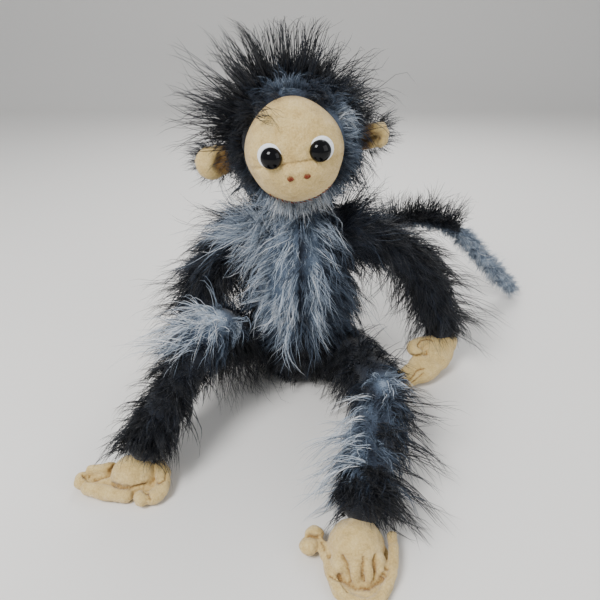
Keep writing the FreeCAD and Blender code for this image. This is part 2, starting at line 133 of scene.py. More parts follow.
def turn(degrees: float, axis: Array = UP) -> Array:
    """The rotation matrix about axis by the right-hand rule."""
    x, y, z = unit(np.asarray(axis, dtype=float))
    angle = math.radians(degrees)
    cross = np.array(((0.0, -z, y), (z, 0.0, -x), (-y, x, 0.0)))
    return np.eye(3) + math.sin(angle) * cross + (1.0 - math.cos(angle)) * cross @ cross


def joint_at(name: str) -> Array:
    """The place of a joint of the frame, in metres."""
    return np.array(next(j["pos_m"] for j in frame["joints"] if j["name"] == name), dtype=float)


# --- meshes ------------------------------------------------------------------------------------
def new_piece(name: str, points: Array, faces: Array, **values: Array) -> Piece:
    """Makes a mesh object at the origin from arrays.

    Args:
        name: the object's name.
        points: the vertices.
        faces: one row of vertex numbers for each face, all with the same count.
        **values: one number a vertex for each named attribute.

    Returns:
        The object, linked to the scene.
    """
    mesh = bpy.data.meshes.new(name)
    mesh.vertices.add(len(points))
    mesh.vertices.foreach_set("co", points.astype(np.float32).ravel())
    mesh.loops.add(faces.size)
    mesh.loops.foreach_set("vertex_index", faces.astype(np.int32).ravel())
    mesh.polygons.add(len(faces))
    mesh.polygons.foreach_set("loop_start", (np.arange(len(faces)) * faces.shape[1]).astype(np.int32))
    mesh.update(calc_edges=True)
    mesh.polygons.foreach_set("use_smooth", np.ones(len(faces), dtype=bool))
    for label, numbers in values.items():
        attribute = mesh.attributes.new(label, "FLOAT", "POINT")
        attribute.data.foreach_set("value", numbers.astype(np.float32))
    piece = bpy.data.objects.new(name, mesh)
    bpy.context.scene.collection.objects.link(piece)
    return piece


def set_value(piece: Piece, label: str, numbers: Array) -> None:
    """Writes one number a vertex as an attribute of a finished piece."""
    attribute = piece.data.attributes.get(label) or piece.data.attributes.new(label, "FLOAT", "POINT")
    attribute.data.foreach_set("value", numbers.astype(np.float32))


def vertices_of(piece: Piece) -> tuple[Array, Array]:
    """The vertices of a mesh and their normals."""
    count = len(piece.data.vertices)
    points, normals = np.empty(count * 3, np.float32), np.empty(count * 3, np.float32)
    piece.data.vertices.foreach_get("co", points)
    piece.data.vertices.foreach_get("normal", normals)
    return points.reshape(-1, 3).astype(float), normals.reshape(-1, 3).astype(float)


def move_vertices(piece: Piece, points: Array) -> None:
    """Sets the vertices of a mesh."""
    piece.data.vertices.foreach_set("co", points.astype(np.float32).ravel())
    piece.data.update()


def closed_grid(rows: int, columns: int) -> Array:
    """The faces of a closed form of rings: rows rings of columns points, then two pole points.

    Returns:
        Triangles whose normals point outwards where columns run anticlockwise seen from the end.
    """
    ring, column = np.meshgrid(np.arange(rows - 1), np.arange(columns), indexing="ij")
    nxt = (column + 1) % columns
    a, b = ring * columns + column, ring * columns + nxt
    c, d = a + columns, b + columns
    side = np.concatenate([np.stack((a, b, d), -1).reshape(-1, 3), np.stack((a, d, c), -1).reshape(-1, 3)])
    turn_round = np.arange(columns)
    after = (turn_round + 1) % columns
    low = np.stack((np.full(columns, rows * columns), after, turn_round), -1)
    last = (rows - 1) * columns
    high = np.stack((np.full(columns, rows * columns + 1), last + turn_round, last + after), -1)
    return np.concatenate([side, low, high])


def globe(rows: int, columns: int) -> tuple[Array, Array]:
    """Points of a unit sphere about +Z, rings from -Z to +Z and then the poles, and its faces."""
    polar = np.linspace(-math.pi / 2, math.pi / 2, rows + 2)[1:-1, None]
    angle = np.linspace(0.0, FULL_TURN, columns, endpoint=False)[None, :]
    height = np.broadcast_to(np.sin(polar), (rows, columns))
    ring = np.stack((np.cos(polar) * np.cos(angle), np.cos(polar) * np.sin(angle), height), -1)
    return np.concatenate([ring.reshape(-1, 3), -UP[None], UP[None]]), closed_grid(rows, columns)


# --- forms that pile grows on and keeps clear of -------------------------------------------------
@dataclass(frozen=True)
class Egg:
    """An ellipsoid with its own turned axes: centre plus axes times semi times a unit sphere."""

    centre: Array
    semi: Array
    axes: Array = field(default_factory=lambda: np.eye(3))

    def points(self, directions: Array) -> Array:
        """Points of the surface for directions of the unit sphere."""
        return self.centre + (directions * self.semi) @ self.axes.T

    def normals(self, directions: Array) -> Array:
        """Outward normals for directions of the unit sphere."""
        return unit((directions / self.semi) @ self.axes.T)

    def clear(self, points: Array, margin: float) -> Array:
        """points, with those inside the form moved straight out from its centre to its surface."""
        local = (points - self.centre) @ self.axes / (self.semi + margin)
        reach = np.linalg.norm(local, axis=-1, keepdims=True)
        out = self.centre + (points - self.centre) / np.maximum(reach, 0.05)
        return np.where(reach < 1.0, out, points)

    def shell(self, rows: int = 24, columns: int = 36, floor: float | None = None) -> tuple[Array, Array]:
        """The closed surface as points and faces, pressed flat at floor if that is given."""
        directions, faces = globe(rows, columns)
        points = self.points(directions)
        if floor is not None:
            points[:, 2] = np.maximum(points[:, 2], floor)
        return points, faces


@dataclass(frozen=True)
class Tube:
    """A closed tube about a line: ring centres, radii and a frame of two directions for each ring."""

    centre: Array
    radius: Array
    side: Array
    over: Array

    @staticmethod
    def along(line: Array, radius: Array, reference: Array) -> "Tube":
        """A tube about line, whose side direction is square to the line and to reference."""
        tangent = unit(np.gradient(line, axis=0))
        side = unit(np.cross(tangent, reference))
        return Tube(line, radius, side, np.cross(tangent, side))

    def _read(self, values: Array, share: Array) -> Array:
        """values at shares from 0 to 1 along the tube, by linear interpolation."""
        at = np.linspace(0.0, 1.0, len(self.radius))
        if values.ndim == 1:
            return np.interp(share, at, values)
        return np.stack([np.interp(share, at, values[:, k]) for k in range(3)], -1)

    def at(self, share: Array, angle: Array) -> tuple[Array, Array, Array]:
        """Points, normals and onward directions at shares of the length and angles around."""
        side, over = unit(self._read(self.side, share)), unit(self._read(self.over, share))
        normal = side * np.cos(angle)[:, None] + over * np.sin(angle)[:, None]
        points = self._read(self.centre, share) + normal * self._read(self.radius, share)[:, None]
        onward = unit(self._read(np.gradient(self.centre, axis=0), share))
        return points, normal, onward

    def sample(self, rng: Rng, count: int, low: float, high: float) -> tuple[Array, Array, Array, Array]:
        """Random points between two shares of the length, as at() gives them, and their shares."""
        share = rng.uniform(low, high, count)
        points, normal, onward = self.at(share, rng.uniform(0.0, FULL_TURN, count))
        return points, normal, onward, share

    def clear(self, points: Array, margin: float) -> Array:
        """points, with those inside the tube moved out from the nearest ring centre to its skin."""
        flat = points.reshape(-1, 3)
        middle = self.centre[::3]
        gap = np.linalg.norm(flat[:, None] - middle[None], axis=-1)
        near = gap.argmin(axis=1)
        away = flat - middle[near]
        reach = gap[np.arange(len(flat)), near][:, None]
        limit = self.radius[::3][near][:, None] + margin
        return np.where(reach < limit, middle[near] + unit(away) * limit, flat).reshape(points.shape)

    def shell(self, columns: int = 40) -> tuple[Array, Array, Array]:
        """The closed surface as points, faces and each point's share of the length."""
        rows = len(self.radius)
        share = np.repeat(np.linspace(0.0, 1.0, rows), columns)
        angle = np.tile(np.linspace(0.0, FULL_TURN, columns, endpoint=False), rows)
        normal = np.repeat(self.side, columns, 0) * np.cos(angle)[:, None]
        normal = normal + np.repeat(self.over, columns, 0) * np.sin(angle)[:, None]
        points = np.repeat(self.centre, columns, 0) + normal * np.repeat(self.radius, columns)[:, None]
        points = np.concatenate([points, self.centre[:1], self.centre[-1:]])
        return points, closed_grid(rows, columns), np.concatenate([share, (0.0, 1.0)])


def soft_line(corners: Array, count: int = 72, smooth: int = 15) -> Array:
    """A line of evenly spaced points through corners, with each corner eased by a running mean."""
    gaps = np.linalg.norm(np.diff(corners, axis=0), axis=1)
    at = np.concatenate([(0.0,), np.cumsum(gaps)])
    where = np.linspace(0.0, at[-1], count)
    line = np.stack([np.interp(where, at, corners[:, k]) for k in range(3)], -1)
    half = smooth // 2
    before = line[0] + (line[0] - line[1]) * np.arange(half, 0, -1)[:, None]
    beyond = line[-1] + (line[-1] - line[-2]) * np.arange(1, half + 1)[:, None]
    longer = np.concatenate([before, line, beyond])
    window = np.ones(smooth) / smooth
    return np.stack([np.convolve(longer[:, k], window, "valid") for k in range(3)], -1)


# --- finishes ----------------------------------------------------------------------------------
def linear(red: int, green: int, blue: int) -> tuple[float, float, float, float]:
    """A colour given as it looks, 0 to 255, as the shader's linear colour."""
    shares = [c / 255.0 for c in (red, green, blue)]
    return (*(s / 12.92 if s <= 0.04045 else ((s + 0.055) / 1.055) ** 2.4 for s in shares), 1.0)


class Dye(Enum):
    """The colours of the toy's cloth, felt and thread."""

    BLACK = linear(7, 8, 12)
    INK = linear(21, 29, 43)
    SLATE = linear(77, 91, 109)
    MIST = linear(168, 182, 198)
    FROST = linear(240, 242, 244)
    TAN = linear(205, 176, 114)
    TAN_DARK = linear(140, 105, 58)
    TAN_PALE = linear(226, 200, 143)
    WOOL_WHITE = linear(240, 243, 246)
    RUST = linear(140, 58, 38)


class Board:
    """A short way to lay out the nodes of a material or of a node group."""

    def __init__(self, tree: Tree) -> None:
        """Keeps the tree."""
        self.tree = tree

    def node(self, kind: str, **settings: object) -> bpy.types.Node:
        """Adds a node and sets its properties, or its sockets where a name starts with in_."""
        made = self.tree.nodes.new(kind)
        for name, value in settings.items():
            if name.startswith("in_"):
                made.inputs[name[3:].replace("_", " ")].default_value = value
            else:
                setattr(made, name, value)
        return made

    def link(self, source: Socket, target: Socket) -> None:
        """Joins two sockets."""
        self.tree.links.new(source, target)

    def ramp(self, factor: Socket, stops: Iterable[tuple[float, tuple]]) -> Socket:
        """A colour ramp read at factor."""
        made = self.node("ShaderNodeValToRGB")
        elements = made.color_ramp.elements
        stops = list(stops)
        while len(elements) < len(stops):
            elements.new(0.5)
        for element, (place, colour) in zip(elements, stops):
            element.position = place
            element.color = colour
        self.link(factor, made.inputs["Fac"])
        return made.outputs["Color"]


def node_group(name: str, inputs: dict[str, float], outputs: dict[str, str]) -> tuple[Tree, Board]:
    """A new shader node group with number inputs and the named outputs.

    Args:
        name: the group's name.
        inputs: the default of each input.
        outputs: the socket type of each output.

    Returns:
        The group and a board to lay its nodes out on, with nodes named "in" and "out".
    """
    tree = bpy.data.node_groups.new(name, "ShaderNodeTree")
    for label, value in inputs.items():
        socket = tree.interface.new_socket(label, in_out="INPUT", socket_type="NodeSocketFloat")
        socket.default_value = value
    for label, kind in outputs.items():
        tree.interface.new_socket(label, in_out="OUTPUT", socket_type=kind)
    board = Board(tree)
    board.node("NodeGroupInput", name="in")
    board.node("NodeGroupOutput", name="out")
    return tree, board


def mohair_colour() -> Tree:
    """The group that dyes the pile: a ramp from black to frost, read at tone plus a fine noise."""
    inputs = {"Tone": 0.3, "Mottle": 0.1, "Scale": 900.0}
    tree, board = node_group("mohair_colour", inputs, {"Color": "NodeSocketColor"})
    gate, out = tree.nodes["in"], tree.nodes["out"]
    place = board.node("ShaderNodeTexCoord")
    noise = board.node("ShaderNodeTexNoise", in_Detail=3.0)
    board.link(place.outputs["Object"], noise.inputs["Vector"])
    board.link(gate.outputs["Scale"], noise.inputs["Scale"])
    centred = board.node("ShaderNodeMath", operation="SUBTRACT")
    centred.inputs[1].default_value = 0.5
    board.link(noise.outputs["Fac"], centred.inputs[0])
    tone = board.node("ShaderNodeMath", operation="MULTIPLY_ADD")
    board.link(centred.outputs[0], tone.inputs[0])
    board.link(gate.outputs["Mottle"], tone.inputs[1])
    board.link(gate.outputs["Tone"], tone.inputs[2])
    stops = zip((0.0, 0.25, 0.5, 0.75, 1.0), (Dye.BLACK, Dye.INK, Dye.SLATE, Dye.MIST, Dye.FROST))
    board.link(board.ramp(tone.outputs[0], [(p, d.value) for p, d in stops]), out.inputs["Color"])
    return tree


def felt_nap() -> Tree:
    """The group for felt: two sizes of matted fibre noise as a mask and a height."""
    outputs = dict.fromkeys(("Mask", "Patch", "Height"), "NodeSocketFloat")
    tree, board = node_group("felt_nap", {"Scale": 1.0}, outputs)
    gate, out = tree.nodes["in"], tree.nodes["out"]
    place = board.node("ShaderNodeTexCoord")
    size = board.node("ShaderNodeVectorMath", operation="SCALE")
    board.link(place.outputs["Object"], size.inputs[0])
    board.link(gate.outputs["Scale"], size.inputs["Scale"])
    fine = board.node(
        "ShaderNodeTexNoise", in_Scale=950.0, in_Detail=5.0, in_Roughness=0.65, in_Distortion=0.6
    )
    coarse = board.node("ShaderNodeTexNoise", in_Scale=160.0, in_Detail=3.0)
    for noise in (fine, coarse):
        board.link(size.outputs[0], noise.inputs["Vector"])
    board.link(fine.outputs["Fac"], out.inputs["Mask"])
    board.link(coarse.outputs["Fac"], out.inputs["Patch"])
    height = board.node("ShaderNodeMath", operation="MULTIPLY_ADD")
    board.link(coarse.outputs["Fac"], height.inputs[0])
    height.inputs[1].default_value = 0.5
    board.link(fine.outputs["Fac"], height.inputs[2])
    board.link(height.outputs[0], out.inputs["Height"])
    return tree


GROUPS = {"mohair_colour": mohair_colour(), "felt_nap": felt_nap()}


def new_material(
    name: str, colour: tuple, **sockets: float
) -> tuple[bpy.types.Material, Board, bpy.types.Node]:
    """A material with a Principled shader whose constant values are set on its own sockets.

    Args:
        name: the material's name.
        colour: the base colour, as the shader's linear colour.
        **sockets: the value of each socket, with _ for a space in its name.

    Returns:
        The material, a board to lay its nodes out on and the shader.
    """
    material = bpy.data.materials.new(name)
    material.use_nodes = True
    material.diffuse_color = colour
    shader = material.node_tree.nodes["Principled BSDF"]
    shader.inputs["Base Color"].default_value = colour
    for label, value in sockets.items():
        shader.inputs[label.replace("_", " ")].default_value = value
    return material, Board(material.node_tree), shader


@dataclass(frozen=True)
class PileFinish:
    """Mohair pile, or its backing cloth, dyed by the tone that each vertex carries."""

    name: str
    mottle: float
    scale: float
    roughness: float
    sheen: float
    weave: float = 0.0

    def build(self) -> bpy.types.Material:
        """Makes the material."""
        material, board, shader = new_material(
            self.name, Dye.INK.value, Roughness=self.roughness, Sheen_Weight=self.sheen, Sheen_Roughness=0.4,
            Specular_IOR_Level=0.4,
        )
        tone = board.node("ShaderNodeAttribute", attribute_name="tone")
        group = board.node(
            "ShaderNodeGroup", node_tree=GROUPS["mohair_colour"], in_Mottle=self.mottle, in_Scale=self.scale
        )
        board.link(tone.outputs["Fac"], group.inputs["Tone"])
        board.link(group.outputs["Color"], shader.inputs["Base Color"])
        if self.weave:
            nap = board.node("ShaderNodeGroup", node_tree=GROUPS["felt_nap"], in_Scale=0.6)
            relief = board.node("ShaderNodeBump", in_Strength=self.weave, in_Distance=0.0008)
            board.link(nap.outputs["Height"], relief.inputs["Height"])
            board.link(relief.outputs["Normal"], shader.inputs["Normal"])
        return material


@dataclass(frozen=True)
class FeltFinish:
    """Brushed felt: three shades mixed by matted noise and by the painted shade and faint mottle that each
    vertex carries.
    """

    name: str
    dark: Dye
    middle: Dye
    pale: Dye
    sheen: float = 0.35

    def build(self) -> bpy.types.Material:
        """Makes the material."""
        material, board, shader = new_material(
            self.name, self.middle.value, Roughness=0.95, Sheen_Weight=self.sheen, Sheen_Roughness=0.5,
            Specular_IOR_Level=0.15,
        )
        nap = board.node("ShaderNodeGroup", node_tree=GROUPS["felt_nap"], in_Scale=1.0)
        shade = board.node("ShaderNodeMath", operation="MULTIPLY_ADD")
        board.link(nap.outputs["Patch"], shade.inputs[0])
        shade.inputs[1].default_value = 0.55
        board.link(nap.outputs["Mask"], shade.inputs[2])
        # this vertex attribute holds painted shade from creases, the face's seam and rim and the ears' inner
        # sides, with a faint mottle; it is taken off the noise
        soil = board.node("ShaderNodeAttribute", attribute_name="soil")
        mottle_less_shade = board.node("ShaderNodeMath", operation="SUBTRACT")
        board.link(shade.outputs[0], mottle_less_shade.inputs[0])
        board.link(soil.outputs["Fac"], mottle_less_shade.inputs[1])
        stops = [(0.28, self.dark.value), (0.72, self.middle.value), (1.0, self.pale.value)]
        board.link(board.ramp(mottle_less_shade.outputs[0], stops), shader.inputs["Base Color"])
        relief = board.node("ShaderNodeBump", in_Strength=0.9, in_Distance=0.0009)
        board.link(nap.outputs["Height"], relief.inputs["Height"])
        board.link(relief.outputs["Normal"], shader.inputs["Normal"])
        return material


@dataclass(frozen=True)
class HardFinish:
    """A hard part: one colour broken by noise, with marks in its gloss."""

    name: str
    colour: tuple
    other: tuple
    roughness: float
    metallic: float = 0.0
    gloss: float = 0.5
    scale: float = 400.0

    def build(self) -> bpy.types.Material:
        """Makes the material."""
        material, board, shader = new_material(
            self.name, self.colour, Metallic=self.metallic, Specular_IOR_Level=self.gloss
        )
        place = board.node("ShaderNodeTexCoord")
        noise = board.node("ShaderNodeTexNoise", in_Scale=self.scale, in_Detail=4.0)
        board.link(place.outputs["Object"], noise.inputs["Vector"])
        stops = [(0.35, self.colour), (0.75, self.other)]
        board.link(board.ramp(noise.outputs["Fac"], stops), shader.inputs["Base Color"])
        rough = board.node(
            "ShaderNodeMapRange", in_To_Min=self.roughness * 0.8, in_To_Max=self.roughness * 1.25
        )
        board.link(noise.outputs["Fac"], rough.inputs["Value"])
        board.link(rough.outputs["Result"], shader.inputs["Roughness"])
        return material


MATERIALS = {
    finish.name: finish.build()
    for finish in (
        PileFinish("mohair_pile", mottle=0.12, scale=700.0, roughness=0.38, sheen=0.06),
        PileFinish("mohair_backing", mottle=0.35, scale=1100.0, roughness=0.9, sheen=0.2, weave=0.8),
        FeltFinish("tan_felt", Dye.TAN_DARK, Dye.TAN, Dye.TAN_PALE),
        FeltFinish("white_felt", Dye.MIST, Dye.WOOL_WHITE, Dye.WOOL_WHITE, sheen=0.2),
        FeltFinish("rust_thread", Dye.RUST, Dye.RUST, Dye.TAN_DARK, sheen=0.1),
        HardFinish("eye_black", (0.0015, 0.0015, 0.002, 1.0), (0.002, 0.002, 0.003, 1.0), 0.04, gloss=0.2),
        HardFinish("pressed_board", linear(142, 104, 68), linear(104, 72, 46), 0.85, scale=900.0),
        HardFinish("plain_steel", (0.5, 0.51, 0.52, 1.0), (0.4, 0.4, 0.41, 1.0), 0.32, metallic=1.0),
    )
}


def dress(piece: Piece, material: str) -> Piece:
    """Gives a piece its material and logs its name, face count and material."""
    piece.data.materials.clear()
    piece.data.materials.append(MATERIALS[material])
    LOG.info("%s: %d faces, %s", piece.name, len(piece.data.polygons), material)
    return piece


# --- pile --------------------------------------------------------------------------------------
@dataclass(frozen=True)
class Lock:
    """How one kind of lock of hair grows. Lengths are in metres.

    A lock's line is its length times: lift times (2t - t squared) along the cloth's normal, plus
    lie times t to the 1.3 along the combing, less fall times t squared straight down, plus a slow
    sway. A hair starts at its own foot beside the lock's, closes on the lock's line by clump, and
    strays from it by curl, a helix that opens with t, and frizz, a straight stray.
    """

    hairs: int
    length: float
    spread: float
    width: float
    lift: float
    lie: float
    fall: float = 0.15
    clump: float = 0.7
    curl: float = 0.03
    frizz: float = 0.10
    sway: float = 0.18
    segments: int = 5
    shortest: float = 0.55
    tip_tone: float = 0.10

    def grow(self, feet: "Feet", rng: Rng, forms: Iterable = ()) -> tuple[Array, Array]:
        """The centre lines of all the hairs.

        Args:
            feet: where the locks stand and how they are combed.
            rng: the source of every random draw.
            forms: forms that the hairs keep clear of.

        Returns:
            The points, hair by segment by axis, and the tone of each hair.
        """
        locks = len(feet.points)
        length = self.length * feet.reach * rng.uniform(0.72, 1.12, locks)
        square = unit(np.cross(feet.normals, feet.combed + 1e-4))
        sway = square * rng.normal(0.0, self.sway, (locks, 1)) + rough_sphere(rng, locks) * self.sway * 0.4
        lift = self.lift * rng.uniform(0.7, 1.3, locks)
        of = np.repeat(np.arange(locks), self.hairs)
        count = len(of)
        far = rng.uniform(self.shortest, 1.0, count)[:, None, None]
        t = np.linspace(0.0, 1.0, self.segments + 1)[None, :, None] * far
        big = length[of][:, None, None]
        line = feet.normals[of][:, None] * lift[of][:, None, None] * (2.0 * t - t * t)
        line = line + feet.combed[of][:, None] * self.lie * t**1.3 - UP * self.fall * t * t
        line = line + sway[of][:, None] * t**1.7
        angle = rng.uniform(0.0, FULL_TURN, count)
        apart = square[of] * np.cos(angle)[:, None]
        apart = apart + np.cross(feet.normals, square)[of] * np.sin(angle)[:, None]
        apart = apart * (self.spread * np.sqrt(rng.uniform(0.0, 1.0, count)))[:, None]
        close = 1.0 - self.clump * t**0.8
        winding = angle[:, None, None] + t * rng.uniform(3.0, 8.0, count)[:, None, None]
        helix = square[of][:, None] * np.cos(winding) + UP * np.sin(winding)
        stray = rough_sphere(rng, count)[:, None]
        stray = stray * np.abs(rng.normal(0.0, self.frizz, count))[:, None, None] * t**1.4
        foot = (feet.points - feet.normals * 0.0006)[of][:, None]
        points = foot + apart[:, None] * close + big * (line + stray + helix * self.curl * t)
        for form in forms:
            points[:, 1:] = form.clear(points[:, 1:], 0.0006)
        points[..., 2] = np.maximum(points[..., 2], FLOOR + rng.uniform(0.0, 0.0012, count)[:, None])
        return points, feet.tone[of] + rng.normal(0.0, 0.11, count) * (0.4 + feet.tone[of])


@dataclass
class Feet:
    """Where locks stand: points, normals, combing directions, tones and shares of full length."""

    points: Array
    normals: Array
    combed: Array
    tone: Array
    reach: Array

    def kept(self, mask: Array) -> "Feet":
        """The feet for which mask is true."""
        columns = (self.points, self.normals, self.combed, self.tone, self.reach)
        return Feet(*(values[mask] for values in columns))


class Coat:
    """Gathers hairs and makes them one closed mesh of three-sided tapered rods."""

    def __init__(self, name: str, seed: int) -> None:
        """Starts an empty coat."""
        self.name = name
        self.rng = np.random.default_rng(seed)
        self.points: list[Array] = []
        self.faces: list[Array] = []
        self.tones: list[Array] = []
        self.count = 0

    def add(self, lock: Lock, feet: Feet, forms: Iterable = ()) -> None:
        """Grows locks at feet and adds their hairs."""
        lines, tone = lock.grow(feet, self.rng, forms)
        self.rods(lines, lock.width, tone, lock.tip_tone)

    def rods(self, lines: Array, width: float, tone: Array, tip_tone: float) -> None:
        """Adds a rod about each line.

        A ring's three points stand at thirds of a turn, at a radius of width times
        (1 - 0.8 t), on two directions square to the line, and the last ring is a point.

        Args:
            lines: hair by segment by axis.
            width: the radius at the root.
            tone: one a hair.
            tip_tone: how much paler the tip is than the middle.
        """
        count, rings = lines.shape[0], lines.shape[1] - 1
        tangent = unit(np.gradient(lines, axis=1))
        side = unit(np.cross(tangent, unit(self.rng.normal(size=(count, 1, 3)))))
        over = np.cross(tangent, side)
        t = np.linspace(0.0, 1.0, rings + 1)
        radius = width * self.rng.uniform(0.7, 1.25, count)[:, None] * (1.0 - 0.8 * t)[None, :]
        angle = np.arange(3) * FULL_TURN / 3.0
        ring = side[:, :-1, None] * np.cos(angle)[:, None] + over[:, :-1, None] * np.sin(angle)[:, None]
        body = lines[:, :-1, None] + ring * radius[:, :-1, None, None]
        points = np.concatenate([body.reshape(count, -1, 3), lines[:, -1:]], axis=1)
        level = tone[:, None] + tip_tone * (t - 0.45)[None, :]
        level = np.concatenate([np.repeat(level[:, :-1], 3, axis=1), level[:, -1:]], axis=1)
        faces = self.template(rings)[None] + (np.arange(count) * points.shape[1])[:, None, None] + self.count
        self.points.append(points.reshape(-1, 3))
        self.faces.append(faces.reshape(-1, 3))
        self.tones.append(np.clip(level, 0.0, 1.0).ravel())
        self.count += points.shape[0] * points.shape[1]

    @staticmethod
    def template(rings: int) -> Array:
        """The triangles of one rod of that many rings and a tip."""
        ring, k = np.meshgrid(np.arange(rings - 1), np.arange(3), indexing="ij")
        a, b = ring * 3 + k, ring * 3 + (k + 1) % 3
        halves = (np.stack((a, b, b + 3), -1), np.stack((a, b + 3, a + 3), -1))
        side = np.concatenate([half.reshape(-1, 3) for half in halves])
        last = (rings - 1) * 3
        tip = np.array([(last + j, last + (j + 1) % 3, rings * 3) for j in range(3)])
        return np.concatenate([side, tip, np.array([(2, 1, 0)])])

    def build(self, material: str = "mohair_pile", slot: str = "mohair_black") -> Piece:
        """Makes the piece."""
        points, faces = np.concatenate(self.points), np.concatenate(self.faces)
        tone = np.concatenate(self.tones)
        piece = new_piece(self.name, points, faces, tone=tone, soil=np.zeros(len(tone)))
        return dress(piece, material)


# kinds of lock
LONG = Lock(hairs=8, length=0.030, spread=0.0038, width=0.00027, lift=0.42, lie=0.84, clump=0.35, curl=0.10,
            frizz=0.14, sway=0.24)
CREST = Lock(hairs=9, length=0.040, spread=0.0050, width=0.00029, lift=0.75, lie=0.5, fall=0.05,
             clump=0.55, curl=0.08, frizz=0.11, sway=0.26, shortest=0.4)
SHORT = Lock(hairs=8, length=0.010, spread=0.0028, width=0.00023, lift=0.65, lie=0.6, clump=0.25, frizz=0.30,
             segments=3, fall=0.1)
WISP = Lock(hairs=4, length=0.035, spread=0.0032, width=0.00025, lift=0.8, lie=0.7, fall=0.3, clump=0.4,
            curl=0.13, frizz=0.18, sway=0.36)
NAP = Lock(hairs=2, length=0.0012, spread=0.0006, width=0.00006, lift=0.7, lie=0.6, fall=0.0, clump=0.0,
           curl=0.0, frizz=0.45, segments=2, tip_tone=0.0)


